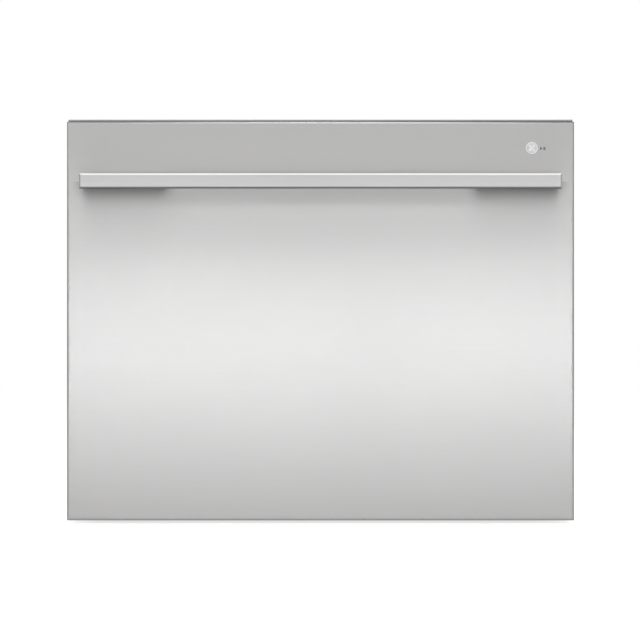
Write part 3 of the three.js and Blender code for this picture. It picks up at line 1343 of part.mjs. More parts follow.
// Shelf over the side of the rack, drawn with its hinge rod along Y through the origin.
function cupShelf(side) {
  const ends = [-CUP_SHELF_LENGTH / 2, CUP_SHELF_LENGTH / 2];
  const hingeRod = barrelY(ROD_RADIUS, ends, [0, 0], 8);
  const reach = -side * CUP_SHELF_REACH;
  const wires = Array.from({ length: CUP_SHELF_WIRES }, (_, i) => {
    const y = ends[0] + 12 + (i * (CUP_SHELF_LENGTH - 24)) / (CUP_SHELF_WIRES - 1);
    return wireX([0, reach], y, 0);
  });
  const tip = wireY(reach, [ends[0] + 10, ends[1] - 10], 0);
  return join(hingeRod, ...wires, tip);
}

// Open box with six cells, and a grip that stands up from its middle wall.
function cutleryBasket() {
  const [width, length, height] = BASKET_SIZE;
  const right = RACK_X - WIRE / 2 - BASKET_SIDE_INSET;
  const left = right - width;
  const front = RACK_FRONT + WIRE / 2 + BASKET_FRONT_INSET;
  const bottom = RACK_FLOOR_TOP + SEAT;
  const top = bottom + height;
  const cellWidth = (width - 4 * BASKET_WALL) / 3;
  const cellLength = (length - 3 * BASKET_WALL) / 2;
  const body = block([left, right], [front, front + length], [bottom, top]);
  const cells = [0, 1, 2].flatMap((column) => [0, 1].map((row) => {
    const x = left + BASKET_WALL + column * (cellWidth + BASKET_WALL);
    const y = front + BASKET_WALL + row * (cellLength + BASKET_WALL);
    return block([x, x + cellWidth], [y, y + cellLength], [bottom + BASKET_WALL, top + 1]);
  }));
  const middle = front + length / 2;
  const gripY = [middle - BASKET_WALL / 2, middle + BASKET_WALL / 2];
  const grip = block([left + 30, right - 30], gripY, [top - 1, top + BASKET_GRIP]);
  const fingers = block([left + 42, right - 42], [middle - 5, middle + 5], [top + 4, top + BASKET_GRIP - 8]);
  return cut(join(cut(body, ...cells), grip), fingers);
}

const rack = new THREE.Group();
drawer.add(rack);
add('rack_floor', rackFloor(), coatedWire, rack);
for (const [label, side] of SIDES) add(`rack_side_${label}`, rackSide(side), coatedWire, rack);
add('rack_front', rackEnd(RACK_FRONT), coatedWire, rack);
add('rack_back', rackEnd(RACK_BACK), coatedWire, rack);
const TINE_ROW_HEIGHT = RACK_FLOOR_TOP + SEAT + ROD_RADIUS;
['tine_row_front', 'tine_row_middle', 'tine_row_back'].forEach((name, i) => {
  const y = RACK_FRONT + TINE_FIRST_ROW + i * TINE_ROW_PITCH;
  add(name, tineRow(), coatedWire, rack).position.set(TINE_SIDE_INSET - RACK_X, y, TINE_ROW_HEIGHT);
});
for (const [label, side] of SIDES) {
  const height = RACK_TOP + WIRE / 2 + SEAT + ROD_RADIUS;
  add(`cup_shelf_${label}`, cupShelf(side), coatedWire, rack)
    .position.set(side * RACK_X, (RACK_FRONT + RACK_BACK) / 2, height);
}
add('cutlery_basket', cutleryBasket(), greyPlastic, rack);

export default part;
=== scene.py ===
# %% [markdown]
# # A dishwasher drawer in brushed steel
# This script dresses a finished engineering model of a dishwasher drawer so that it looks like the
# real machine. The model arrives as separate named solids, each on the body it moves with. Shapes
# that are already right get a better surface, and plain ones are replaced by finer meshes. Camera,
# surfaces and studio come first, then door, rack, basket, filter, cabinet and the small details.

# %% Load the frame
import json
import math
import bmesh
import bpy
from mathutils import Matrix, Vector

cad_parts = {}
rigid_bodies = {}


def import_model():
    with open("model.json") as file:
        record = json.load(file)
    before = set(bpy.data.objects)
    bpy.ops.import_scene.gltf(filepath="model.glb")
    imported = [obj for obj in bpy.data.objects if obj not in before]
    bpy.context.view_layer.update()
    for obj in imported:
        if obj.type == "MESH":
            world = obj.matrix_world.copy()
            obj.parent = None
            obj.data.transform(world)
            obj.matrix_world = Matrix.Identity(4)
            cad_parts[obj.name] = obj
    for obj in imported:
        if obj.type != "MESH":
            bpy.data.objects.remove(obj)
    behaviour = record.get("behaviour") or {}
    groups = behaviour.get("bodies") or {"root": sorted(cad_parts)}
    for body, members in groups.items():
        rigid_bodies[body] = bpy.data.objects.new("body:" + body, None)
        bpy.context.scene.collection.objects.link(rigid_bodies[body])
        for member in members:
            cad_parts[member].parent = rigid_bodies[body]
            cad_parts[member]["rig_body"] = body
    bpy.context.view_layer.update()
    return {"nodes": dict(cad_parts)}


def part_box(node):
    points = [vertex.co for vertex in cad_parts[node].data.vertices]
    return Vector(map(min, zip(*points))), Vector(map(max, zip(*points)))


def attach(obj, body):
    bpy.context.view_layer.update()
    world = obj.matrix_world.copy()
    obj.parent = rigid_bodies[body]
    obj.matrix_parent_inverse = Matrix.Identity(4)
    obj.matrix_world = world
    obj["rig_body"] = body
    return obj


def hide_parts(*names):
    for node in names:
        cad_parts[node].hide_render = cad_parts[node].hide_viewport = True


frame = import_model()
nodes = frame["nodes"]
scene = bpy.context.scene
MM = 0.001
SIDES = (("left", -1), ("right", 1))

# %% [markdown]
# ## Reading places from the frame
# `middle_of` gives the point between them, and `inset_box` brings both corners inwards.

# %% Main places
panel_low, panel_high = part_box("door_skin")
PANEL_FACE = panel_low.y
BUTTON_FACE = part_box("button_bezel")[0].y


def middle_of(name):
    low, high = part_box(name)
    return (low + high) / 2


def inset_box(name, inset):
    low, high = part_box(name)
    margin = Vector((inset, inset, inset))
    return low + margin, high - margin


def new_object(name, data):
    made = bpy.data.objects.new(name, data)
    scene.collection.objects.link(made)
    return made


BUTTON_CENTRE = middle_of("button_bezel")
print("front panel", [round(v, 4) for v in panel_high - panel_low])

# %% [markdown]
# ## Camera
# The photograph was taken square on from far away with a long lens, so the handle looks hardly
# wider than it is. One pixel shows 1.18 mm of the panel. The camera stands at about half the panel's
# height, and its distance was found from how much the bar grows by standing nearer.

# %% Camera
PIXEL = 1.1805 * MM
FRAME_PIXELS = 640
CAMERA_DISTANCE = 3.7
SENSOR = 36.0
PANEL_LEFT_PIXEL = 66.8
PANEL_RIGHT_PIXEL = 574.2
PANEL_MIDDLE_PIXEL = (PANEL_LEFT_PIXEL + PANEL_RIGHT_PIXEL) / 2
PANEL_FOOT_PIXEL = 520.5


def photo_camera():
    data = bpy.data.cameras.new("photo_camera")
    data.sensor_width = SENSOR
    data.lens = SENSOR * CAMERA_DISTANCE / (FRAME_PIXELS * PIXEL)
    data.clip_end = 100
    camera = new_object("photo_camera", data)
    middle = FRAME_PIXELS / 2
    z = panel_low.z + (PANEL_FOOT_PIXEL - middle) * PIXEL
    camera.location = ((middle - PANEL_MIDDLE_PIXEL) * PIXEL, PANEL_FACE - CAMERA_DISTANCE, z)
    camera.rotation_euler = (math.pi / 2, 0, 0)
    return camera


scene.camera = photo_camera()
scene.view_settings.view_transform = "Standard"
print("lens", round(scene.camera.data.lens, 1), "mm")

# %% [markdown]
# ## Small tools for shader nodes
# Surfaces here are made of nodes, and short helpers keep the making readable. `put` adds a node and
# fills its sockets: a plain value is set, and another node's socket is linked. `maths` and
# `blend_colours` add the two nodes that turn up most. `new_group` starts a group with named sockets,
# which is built once and then placed in each surface with its own values, like a stamp.

# %% Node helpers
BLACK = (0, 0, 0, 1)
WHITE = (1, 1, 1, 1)


def join(tree, source, target):
    if isinstance(source, bpy.types.NodeSocket):
        tree.links.new(source, target)
    else:
        target.default_value = source


def put(tree, kind, values=None, **settings):
    made = tree.nodes.new(kind)
    for name, value in settings.items():
        setattr(made, name, value)
    for socket, value in (values or {}).items():
        join(tree, value, made.inputs[socket])
    return made


def maths(tree, operation, first, second=0.0, clamp=False):
    values = {0: first, 1: second}
    return put(tree, "ShaderNodeMath", values, operation=operation, use_clamp=clamp).outputs[0]


def blend_colours(tree, mask, low, high, kind="MIX"):
    values = {0: mask, 6: low, 7: high}
    return put(tree, "ShaderNodeMix", values, data_type="RGBA", blend_type=kind).outputs[2]


def object_place(tree):
    return put(tree, "ShaderNodeTexCoord").outputs["Object"]


def axes(tree, vector):
    return put(tree, "ShaderNodeSeparateXYZ", {0: vector}).outputs


def facing_axes(tree):
    """How far a face looks along X, Y and Z."""
    return axes(tree, put(tree, "ShaderNodeNewGeometry").outputs["Normal"])


def fresh_tree(owner):
    owner.use_nodes = True
    owner.node_tree.nodes.clear()
    return owner.node_tree


def new_group(name, **inputs):
    """A shader group with the given inputs, and a mask as its only output."""
    tree = bpy.data.node_groups.new(name, "ShaderNodeTree")
    for label, value in inputs.items():
        kind = "NodeSocketVector" if isinstance(value, tuple) else "NodeSocketFloat"
        tree.interface.new_socket(label, in_out="INPUT", socket_type=kind).default_value = value
    tree.interface.new_socket("Mask", in_out="OUTPUT", socket_type="NodeSocketFloat")
    given = tree.nodes.new("NodeGroupInput")
    return tree, given.outputs, tree.nodes.new("NodeGroupOutput").inputs["Mask"]


# %% [markdown]
# ## Grain, mottle and dust
# Three effects turn up on many surfaces. *Grain* is noise stretched along one direction, as brushing
# leaves it. *Mottle* is a slow change over a hand's breadth, such as handling leaves on steel and
# moulding leaves in plastic. *Dust* lies only where a face looks up. Each gives a mask from 0 to 1.

# %% Shared effects
def noise(tree, vector, **values):
    """A fractal pattern whose height at each place is a number round one half."""
    named = {label.capitalize(): value for label, value in values.items()}
    return put(tree, "ShaderNodeTexNoise", {"Vector": vector, **named}).outputs[0]


def grain_group():
    tree, given, mask = new_group("stretched_grain", Stretch=(1, 1, 1), Detail=3.0)
    values = {0: object_place(tree), 1: given["Stretch"]}
    scaled = put(tree, "ShaderNodeVectorMath", values, operation="MULTIPLY")
    join(tree, noise(tree, scaled.outputs[0], scale=1.0, detail=given["Detail"], roughness=0.6), mask)
    return tree


def mottle_group():
    tree, given, mask = new_group("slow_mottle", Size=12.0, Contrast=1.0)
    place, size = object_place(tree), given["Size"]
    cloud = noise(tree, place, scale=size, detail=5.0, roughness=0.55, distortion=0.3)
    spread = maths(tree, "MULTIPLY", maths(tree, "SUBTRACT", cloud, 0.5), given["Contrast"])
    join(tree, maths(tree, "ADD", spread, 0.5, clamp=True), mask)
    return tree


def dust_group():
    tree, given, mask = new_group("settled_dust", Amount=0.3, Size=60.0)
    upward = maths(tree, "POWER", maths(tree, "MAXIMUM", facing_axes(tree)["Z"], 0.0), 3.0)
    specks = noise(tree, object_place(tree), scale=given["Size"], detail=6.0, roughness=0.7)
    speckled = maths(tree, "MULTIPLY", upward, specks)
    join(tree, maths(tree, "MULTIPLY", speckled, given["Amount"], clamp=True), mask)
    return tree


GRAIN = grain_group()
MOTTLE = mottle_group()
DUST = dust_group()
print("shared effects:", GRAIN.name, MOTTLE.name, DUST.name)

# %% [markdown]
# ## One recipe for a surface
# Most surfaces differ in numbers, not in kind: a colour that wanders a little, a roughness that
# follows the grain, a fine relief, and perhaps a trace of dust. One function builds that, and each
# finish gives its own values. The stretch says how often the grain changes in a metre, along all axes
# alike or along X, Y and Z. Metals are written with the colour that they reflect.

# %% Surface recipe
DUST_COLOUR = (0.42, 0.41, 0.39, 1)
DUST_SPECKLE = 90.0
GRAIN_DEPTH = 0.2 * MM
SPARK_DEPTH = 0.1 * MM
BRUSHING_TURN = 0.25


def stamp(tree, group, values):
    return put(tree, "ShaderNodeGroup", values, node_tree=group).outputs[0]


def shade(colour, factor):
    return tuple(min(1.0, c * factor) for c in colour) + (1,)


def surface(
    name, colour, roughness, stretch, metallic=0.0, detail=3.0, tone=0.05, relief=0.05,
    depth=GRAIN_DEPTH, mottle=12.0, contrast=1.5, wander=0.06, sheen=0.05, dust=0, brushing=0,
    extra=None,
):
    """Colour wanders by tone with the grain and by wander with the mottle, and roughness by sheen."""
    material = bpy.data.materials.new(name + "_finish")
    material["slot"] = name
    tree = fresh_tree(material)
    stretches = stretch if isinstance(stretch, tuple) else (stretch,) * 3
    fine = stamp(tree, GRAIN, {"Stretch": stretches, "Detail": detail})
    slow = stamp(tree, MOTTLE, {"Size": mottle, "Contrast": contrast})
    grained = blend_colours(tree, fine, shade(colour, 1 - tone), shade(colour, 1 + tone))
    slow_tint = blend_colours(tree, slow, shade((1, 1, 1), 1 - wander), WHITE)
    base = blend_colours(tree, 1.0, grained, slow_tint, "MULTIPLY")
    if dust:
        settled = stamp(tree, DUST, {"Amount": dust, "Size": DUST_SPECKLE})
        base = blend_colours(tree, settled, base, DUST_COLOUR)
    if extra:
        base = extra(tree, base)
    uneven = maths(tree, "MULTIPLY", maths(tree, "ADD", fine, slow), sheen)
    bump = put(tree, "ShaderNodeBump", {"Strength": relief, "Distance": depth, "Height": fine})
    shader = put(tree, "ShaderNodeBsdfPrincipled", {
        "Base Color": base, "Metallic": metallic, "Normal": bump.outputs[0], "Anisotropic": brushing,
        "Roughness": maths(tree, "ADD", uneven, roughness - sheen, clamp=True),
        "Anisotropic Rotation": BRUSHING_TURN if brushing else 0.0,
    })
    put(tree, "ShaderNodeOutputMaterial", {"Surface": shader.outputs[0]})
    return material


# %% [markdown]
# ## Steel and bright metal
# The front is brushed side to side, so its grain is long in X and fine in Z. Such scratches are too
# fine to model, so the shader's anisotropy spreads reflections up and down instead. Painted shade
# darkens the colour on bends that turn sideways and on faces that look down, on the front and the bar,
# and painted light lightens the bar's back. Each mask comes from the way a face points on the object
# itself. Little light gets into the corners under the handle's standoffs, so ambient occlusion paints
# shade into the front's colour there. The button is turned on a lathe, and its bright cross and bright
# spot are painted highlights, laid in by the distance from two diagonals and from one point.

# %% Bright metals
NOOK_REACH = 15 * MM
NOOK_TOP = 404 * MM
NOOK_BOTTOM = 200 * MM
ARM_WIDTH = 1.2 * MM
PAINTED_CROSS_HIGHLIGHT = 0.42
SPOT_OFFSET = 2.35 * MM
SPOT_RADIUS = 1.5 * MM


# Painted shade: ambient occlusion darkens the front's colour between NOOK_BOTTOM and NOOK_TOP, mostly under
# the standoffs.
def painted_standoff_shade(tree, lit):
    height = axes(tree, object_place(tree))["Z"]
    below = maths(tree, "LESS_THAN", height, NOOK_TOP)
    above = maths(tree, "GREATER_THAN", height, NOOK_BOTTOM)
    openness = put(tree, "ShaderNodeAmbientOcclusion", {"Distance": NOOK_REACH}).outputs["AO"]
    gloom = maths(tree, "SUBTRACT", 1.0, openness, clamp=True)
    gloom = maths(tree, "MULTIPLY", gloom, maths(tree, "MULTIPLY", below, above))
    return blend_colours(tree, gloom, lit, BLACK)


def painted_shade_and_light(fold, low, back=0.0, nooks=False):
    """Paints shade into the steel's colour on sideways bends and underneath, and paints light on what faces
    back.
    """
    def change(tree, base):
        normal = facing_axes(tree)
        flank = maths(tree, "MULTIPLY", normal["X"], normal["X"])
        bend = maths(tree, "MULTIPLY", flank, maths(tree, "SUBTRACT", 1.0, flank))
        painted_fold_shade = maths(tree, "MULTIPLY", bend, 4.0 * fold)
        painted_under_shade = maths(tree, "MULTIPLY", normal["Z"], -low)
        darker = blend_colours(tree, maths(tree, "MAXIMUM", painted_fold_shade, painted_under_shade), base, BLACK)
        painted_back_light = maths(tree, "MULTIPLY", normal["Y"], back, clamp=True)
        lit = blend_colours(tree, painted_back_light, darker, WHITE)
        return painted_standoff_shade(tree, lit) if nooks else lit
    return change


# Painted highlights: a bright cross and a bright spot blended to white in the button's colour.
def painted_button_highlights(tree, base):
    place = object_place(tree)
    parts = axes(tree, place)
    across = maths(tree, "SUBTRACT", parts["X"], BUTTON_CENTRE.x)
    up = maths(tree, "SUBTRACT", parts["Z"], BUTTON_CENTRE.z)
    arms = []
    for operation in ("ADD", "SUBTRACT"):
        aside = maths(tree, "ABSOLUTE", maths(tree, operation, across, up))
        share = maths(tree, "DIVIDE", aside, math.sqrt(2) * ARM_WIDTH)
        arms.append(maths(tree, "SUBTRACT", 1.0, share, clamp=True))
    cross = maths(tree, "MULTIPLY", maths(tree, "MAXIMUM", *arms), PAINTED_CROSS_HIGHLIGHT)
    middle = (BUTTON_CENTRE.x - SPOT_OFFSET, BUTTON_FACE, BUTTON_CENTRE.z - SPOT_OFFSET)
    corner = put(tree, "ShaderNodeVectorMath", {0: place, 1: middle}, operation="DISTANCE")
    reach = maths(tree, "DIVIDE", corner.outputs["Value"], SPOT_RADIUS)
    highlight_spot = maths(tree, "SUBTRACT", 1.0, reach, clamp=True)
    return blend_colours(tree, maths(tree, "MAXIMUM", cross, highlight_spot), base, WHITE)


# The front and the bar carry painted shade on bends and undersides, and the bar painted light on its back.
front_steel = surface(
    "brushed_steel_front", (0.323, 0.320, 0.318), 0.40, (9, 9, 1500), 1.0, detail=4.0, tone=0.035,
    relief=0.04, mottle=5.0, wander=0.02, sheen=0.03, brushing=0.8, extra=painted_shade_and_light(0.65, 0.6, nooks=True),
)
bar_steel = surface(
    "satin_bar", (0.415, 0.414, 0.414), 0.34, (12, 900, 1500), 1.0, detail=4.0, tone=0.03,
    relief=0.03, mottle=6.0, wander=0.02, sheen=0.03, extra=painted_shade_and_light(0.35, 0.88, back=0.9),
)
# The button's colour carries painted highlights.
button_steel = surface(
    "button_steel", (0.52, 0.520, 0.521), 0.28, 900, 1.0, tone=0.03, relief=0.02, extra=painted_button_highlights,
)
ring_metal = surface(
    "polished_ring", (0.70, 0.698, 0.699), 0.32, 900, 1.0, tone=0.02, relief=0.01, wander=0.02, sheen=0.02,
)
print("bright metals ready")

# %% [markdown]
# ## Sheet, wire and wet metals
# Zinc-coated sheet shows spangle: flat crystals, each a slightly different grey. A cell pattern gives
# every crystal its own value. Runners are plain rolled steel with a film of grease, the filter is
# stainless, and the heater's sheath has turned brown from heat.

# %% Sheet and wet metals
CRYSTALS_A_METRE = 210.0
DARK_CRYSTAL = (0.91, 0.91, 0.92, 1)


def spangle(tree, base):
    cells = put(tree, "ShaderNodeTexVoronoi", {"Vector": object_place(tree), "Scale": CRYSTALS_A_METRE})
    grey = axes(tree, cells.outputs["Color"])["X"]
    tint = blend_colours(tree, grey, DARK_CRYSTAL, WHITE)
    return blend_colours(tree, 1.0, base, tint, "MULTIPLY")


zinc = surface(
    "zinc_sheet", (0.50, 0.512, 0.525), 0.45, 60, 0.25, tone=0.03, relief=0.03, mottle=5.0,
    wander=0.05, dust=0.15, extra=spangle,
)
runner_steel = surface(
    "runner_steel", (0.58, 0.585, 0.59), 0.28, (900, 14, 900), 1.0, relief=0.03, mottle=20.0,
    wander=0.10, sheen=0.08, dust=0.05,
)
filter_steel = surface(
    "filter_steel", (0.60, 0.605, 0.61), 0.30, (700, 30, 700), 1.0, tone=0.04, relief=0.03,
    mottle=18.0, sheen=0.06,
)
heater_metal = surface(
    "heater_sheath", (0.33, 0.30, 0.27), 0.38, 250, 1.0, tone=0.10, relief=0.06, mottle=35.0,
    contrast=2.0, wander=0.25, sheen=0.1,
)
print("sheet metals ready")

# %% [markdown]
# ## Mouldings, rubber, wire and board
# Injection mouldings have a fine spark-eroded texture: tiny, even bumps that soften the highlight.
# The tub is a pale grey polymer, other mouldings are darker, rubber is nearly black and dull, and the
# rack's wires carry a thick soft coating. The circuit board is green lacquer over copper tracks.

# %% Mouldings and board
tub_plastic = surface(
    "tub_moulding", (0.70, 0.715, 0.725), 0.40, 1500, tone=0.02, relief=0.10, depth=SPARK_DEPTH,
    mottle=4.0, wander=0.04, dust=0.05,
)
grey_plastic = surface(
    "grey_moulding", (0.27, 0.285, 0.30), 0.48, 1400, tone=0.04, relief=0.14, depth=SPARK_DEPTH,
    mottle=9.0, dust=0.08,
)
basket_plastic = surface(
    "basket_moulding", (0.36, 0.38, 0.40), 0.45, 1400, tone=0.04, relief=0.12, depth=SPARK_DEPTH, mottle=11.0,
)
black_plastic = surface(
    "black_moulding", (0.035, 0.037, 0.04), 0.5, 1300, tone=0.10, relief=0.16, depth=SPARK_DEPTH,
    mottle=10.0, wander=0.15, sheen=0.06, dust=0.3,
)
cap_plastic = surface(
    "door_edge", (0.30, 0.303, 0.308), 0.5, 800, tone=0.04, relief=0.08, mottle=8.0, wander=0.05,
)
black_rubber = surface(
    "black_rubber", (0.022, 0.022, 0.024), 0.72, 500, tone=0.12, relief=0.15, mottle=22.0, wander=0.2,
    sheen=0.08, dust=0.35,
)
hose_plastic = surface(
    "grey_hose", (0.40, 0.41, 0.42), 0.5, 600, relief=0.10, mottle=30.0, wander=0.10, sheen=0.06, dust=0.2,
)
wire_coating = surface(
    "coated_wire", (0.30, 0.315, 0.33), 0.38, 500, relief=0.08, mottle=25.0, wander=0.07, sheen=0.06,
)
TRACK_COLOUR = (0.10, 0.26, 0.12, 1)


def copper_tracks(tree, base):
    upright = put(tree, "ShaderNodeMapping", {"Vector": object_place(tree), "Rotation": (math.pi / 2, 0, 0)})
    bricks = put(tree, "ShaderNodeTexBrick", {
        "Vector": upright.outputs[0], "Scale": 260.0, "Mortar Size": 0.05, "Brick Width": 1.6,
    }, offset=0.37)
    return blend_colours(tree, bricks.outputs["Fac"], base, TRACK_COLOUR)


print_ink = surface("printed_mark", (0.015, 0.012, 0.013), 0.6, 2000, tone=0.08, mottle=300.0, wander=0.1)
board_lacquer = surface(
    "circuit_board", (0.03, 0.12, 0.06), 0.32, 700, tone=0.08, mottle=40.0, wander=0.1, extra=copper_tracks,
)
print("mouldings ready")

# %% [markdown]
# ## Studio
# The object stands on a plain pale floor in soft light. The world is white to the camera and in
# reflections, and dimmer as a light, so that lamps can shape the object without washing it out. The
# floor is lit white paint with a little glow of its own, and the object's shadow stays on it.
# A long low strip in front makes the bright band across the brushed door, and two short strips turned
# inwards carry it out to the door's ends. A long soft box high in front casts the handle's shadow
# down the door, and a steep one lights the gap behind the bar. One above catches the bevel of the
# handle, and boxes at both sides and behind bring out edges and pressed beads in the other views.

# %% Floor and world
WORLD_SHOWN = 1.0
WORLD_LIGHT = 0.38
FLOOR_GLOW = 0.74
FLOOR_HALF = 7.0
FLOOR_PAINT = (0.66, 0.66, 0.66, 1)


def seen_directly(tree):
    path = put(tree, "ShaderNodeLightPath").outputs
    seen = maths(tree, "MAXIMUM", path["Is Camera Ray"], path["Is Glossy Ray"])
    return maths(tree, "MAXIMUM", seen, path["Is Transmission Ray"])


def studio_world():
    scene.world = bpy.data.worlds.new("studio")
    tree = fresh_tree(scene.world)
    shown, lighting = (
        put(tree, "ShaderNodeBackground", {"Color": WHITE, "Strength": strength}).outputs[0]
        for strength in (WORLD_SHOWN, WORLD_LIGHT)
    )
    mix = put(tree, "ShaderNodeMixShader", {0: seen_directly(tree), 1: lighting, 2: shown})
    put(tree, "ShaderNodeOutputWorld", {"Surface": mix.outputs[0]})


def studio_floor():
    corners = [(x * FLOOR_HALF, y * FLOOR_HALF, 0) for x, y in ((-1, -1), (1, -1), (1, 1), (-1, 1))]
    mesh = bpy.data.meshes.new("studio_floor")
    mesh.from_pydata(corners, [], [(0, 1, 2, 3)])
    material = bpy.data.materials.new("studio_floor")
    tree = fresh_tree(material)
    strength = maths(tree, "MULTIPLY", seen_directly(tree), FLOOR_GLOW)
    paint = put(tree, "ShaderNodeBsdfDiffuse", {"Color": FLOOR_PAINT})
    glow = put(tree, "ShaderNodeEmission", {"Color": WHITE, "Strength": strength})
    both = put(tree, "ShaderNodeAddShader", {0: paint.outputs[0], 1: glow.outputs[0]})
    put(tree, "ShaderNodeOutputMaterial", {"Surface": both.outputs[0]})
    mesh.materials.append(material)
    new_object("studio_floor", mesh)


studio_world()
studio_floor()

# %% Lamps
def soft_box(name, place, target, size, watts, spread=180):
    data = bpy.data.lights.new(name, "AREA")
    data.shape = "RECTANGLE"
    data.size, data.size_y = size
    data.energy = watts
    data.spread = math.radians(spread)
    lamp = new_object(name, data)
    lamp.location = place
    lamp.rotation_euler = (Vector(target) - Vector(place)).to_track_quat("-Z", "Y").to_euler()
    lamp.visible_camera = False


STRIP_HEIGHT = 0.214
STRIP_THICKNESS = 0.06
STRIP_SPREAD = 19
STRIP_DISTANCE = 1.5


def strip(name, x, target_x, length, watts):
    place, target = (x, PANEL_FACE - STRIP_DISTANCE, STRIP_HEIGHT), (target_x, PANEL_FACE, STRIP_HEIGHT)
    soft_box(name, place, target, (length, STRIP_THICKNESS), watts, STRIP_SPREAD)


strip("strip_front", x=0, target_x=0, length=2.6, watts=0.315)
for label, side in SIDES:
    strip(f"strip_{label}", x=side * 0.62, target_x=side * 0.30, length=0.6, watts=0.026)
door_top, middle = (0, PANEL_FACE, 0.40), (0, 0, 0.25)
soft_box("box_high_front", (0, PANEL_FACE - 2.43, 1.64), door_top, size=(2.8, 0.6), watts=13.5)
soft_box("box_steep", (0, PANEL_FACE - 0.7, 1.75), door_top, size=(1.6, 0.3), watts=11.0)
soft_box("box_above", (0, -0.55, 2.3), (0, -0.1, 0.2), size=(1.7, 1.5), watts=8.0)
soft_box("box_left", (-2.4, -1.2, 1.2), middle, size=(1.0, 1.0), watts=16.0)
soft_box("box_right", (2.4, -1.0, 1.0), middle, size=(1.0, 1.0), watts=10.0)
soft_box("box_behind", (0.6, 2.6, 1.5), middle, size=(1.0, 1.0), watts=11.0)
print("studio ready")

# %% [markdown]
# ## Easing the edges of a solid
# An engineering solid has razor edges, and light gives it away. The helper copies a solid's mesh,
# merges its loose triangles, joins flat ones into whole faces, and rounds every sharp edge a little.
# The copy then stands for the solid and rides on the same body.

# %% Easing helper
SHARP = math.radians(32)
FLAT = math.radians(0.4)
WELD = 2e-6


def new_piece(name, bm, material):
    mesh = bpy.data.meshes.new(name)
    bm.to_mesh(mesh)
    bm.free()
    mesh.materials.clear()
    mesh.materials.append(material)
    mesh.polygons.foreach_set("use_smooth", [True] * len(mesh.polygons))
    mesh.polygons.foreach_set("material_index", [0] * len(mesh.polygons))
    mesh.set_sharp_from_angle(angle=SHARP)
    piece = new_object(name, mesh)
    piece.modifiers.new("even_normals", "WEIGHTED_NORMAL").keep_sharp = True
    return piece


def ride_with(piece, node):
    """Rides where the named solid rides."""
    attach(piece, nodes[node]["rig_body"])
    return piece


def stand_in(piece, node):
    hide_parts(node)
    return ride_with(piece, node)


def merged(name):
    bm = bmesh.new()
    bm.from_mesh(nodes[name].data)
    bmesh.ops.remove_doubles(bm, verts=bm.verts, dist=WELD)
    bmesh.ops.dissolve_limit(bm, angle_limit=FLAT, verts=bm.verts, edges=bm.edges)
    return bm


def soften(bm, width):
    sharp = [e for e in bm.edges if e.is_manifold and e.is_convex and e.calc_face_angle() > SHARP]
    bmesh.ops.bevel(bm, geom=sharp, offset=width, segments=2, profile=0.5, affect="EDGES", clamp_overlap=True)


# %% All solids eased
eased = {
    front_steel: {0: "door_skin"},
    bar_steel: {0.4: "handle_bar", 0.6: "handle_standoff_left handle_standoff_right"},
    button_steel: {0.15: "start_button"},
    ring_metal: {0.15: "button_bezel"},
    cap_plastic: {0.2: "door_top_cap"},
    zinc: {0: "cabinet_shell"},
    runner_steel: {
        0: "runner_outer_left runner_outer_right runner_inner_left runner_inner_right "
        "runner_middle_left runner_middle_right",
    },
    heater_metal: {0: "heater"},
    tub_plastic: {1.2: "tub", 1.5: "lid", 0.8: "flood_float"},
    grey_plastic: {
        0.2: "fan_impeller", 0.3: "pump_rotor", 0.4: "drain_filter",
        0.6: "door_carrier hose_arm_lower hose_arm_upper dispenser_flap",
        1.0: "dispenser_body", 1.5: "spray_arm",
    },
    black_plastic: {
        0.6: "foot_front_left foot_front_right foot_back_left foot_back_right rinse_aid_cap",
        0.8: "base_tray", 1.5: "controller_box",
        1.0: "lid_actuator_left lid_actuator_right swivel_base pump_housing fan_housing hose_bracket",
    },
    black_rubber: {1.2: "lid_seal"},
    board_lacquer: {0.2: "button_board"},
}
count = 0
for material, sizes in eased.items():
    for width, names in sizes.items():
        for name in names.split():
            bm = merged(name)
            if width:
                soften(bm, width * MM)
            stand_in(new_piece(name + "_eased", bm, material), name)
            count += 1
print("solids left for finer meshes:", len(nodes) - count)

# %% [markdown]
# ## The play and pause mark
# A small printed sign sits beside the button: a triangle and two upright strokes. It could be a
# pattern in the steel's colour, but a shape of its own keeps crisp corners from near by. Printing is
# thinner than a hair, so each outline becomes a closed slab of that thickness, laid on the steel.

# %% Printed mark
MARK_LEFT_PIXEL = 540.2
MARK_MIDDLE_PIXEL = 148.5
MARK_HALF_HEIGHT = 1.9 * MM
TRIANGLE_LENGTH = 2.5 * MM
STROKE_GAP = 1.4 * MM
STROKE_WIDTH = 0.9 * MM
STROKE_STEP = 1.2 * MM
PRINT_THICKNESS = 0.03 * MM


def print_slab(bm, outline):
    front, back = (
        [bm.verts.new((x, PANEL_FACE - layers * PRINT_THICKNESS, z)) for x, z in outline]
        for layers in (2, 1)
    )
    bm.faces.new(front)
    bm.faces.new(back)
    for i, corner in enumerate(front):
        after = (i + 1) % len(front)
        bm.faces.new((corner, front[after], back[after], back[i]))


def play_pause_mark():
    left = (MARK_LEFT_PIXEL - PANEL_MIDDLE_PIXEL) * PIXEL
    middle = panel_low.z + (PANEL_FOOT_PIXEL - MARK_MIDDLE_PIXEL) * PIXEL
    low, high = middle - MARK_HALF_HEIGHT, middle + MARK_HALF_HEIGHT
    bm = bmesh.new()
    print_slab(bm, [(left, low), (left + TRIANGLE_LENGTH, middle), (left, high)])
    for stroke in range(2):
        x = left + TRIANGLE_LENGTH + STROKE_GAP + stroke * STROKE_STEP
        print_slab(bm, [(x, low), (x + STROKE_WIDTH, low), (x + STROKE_WIDTH, high), (x, high)])
    bmesh.ops.recalc_face_normals(bm, faces=bm.faces)
    ride_with(new_piece("play_pause_mark", bm, print_ink), "door_skin")


play_pause_mark()
print("mark printed beside the button")

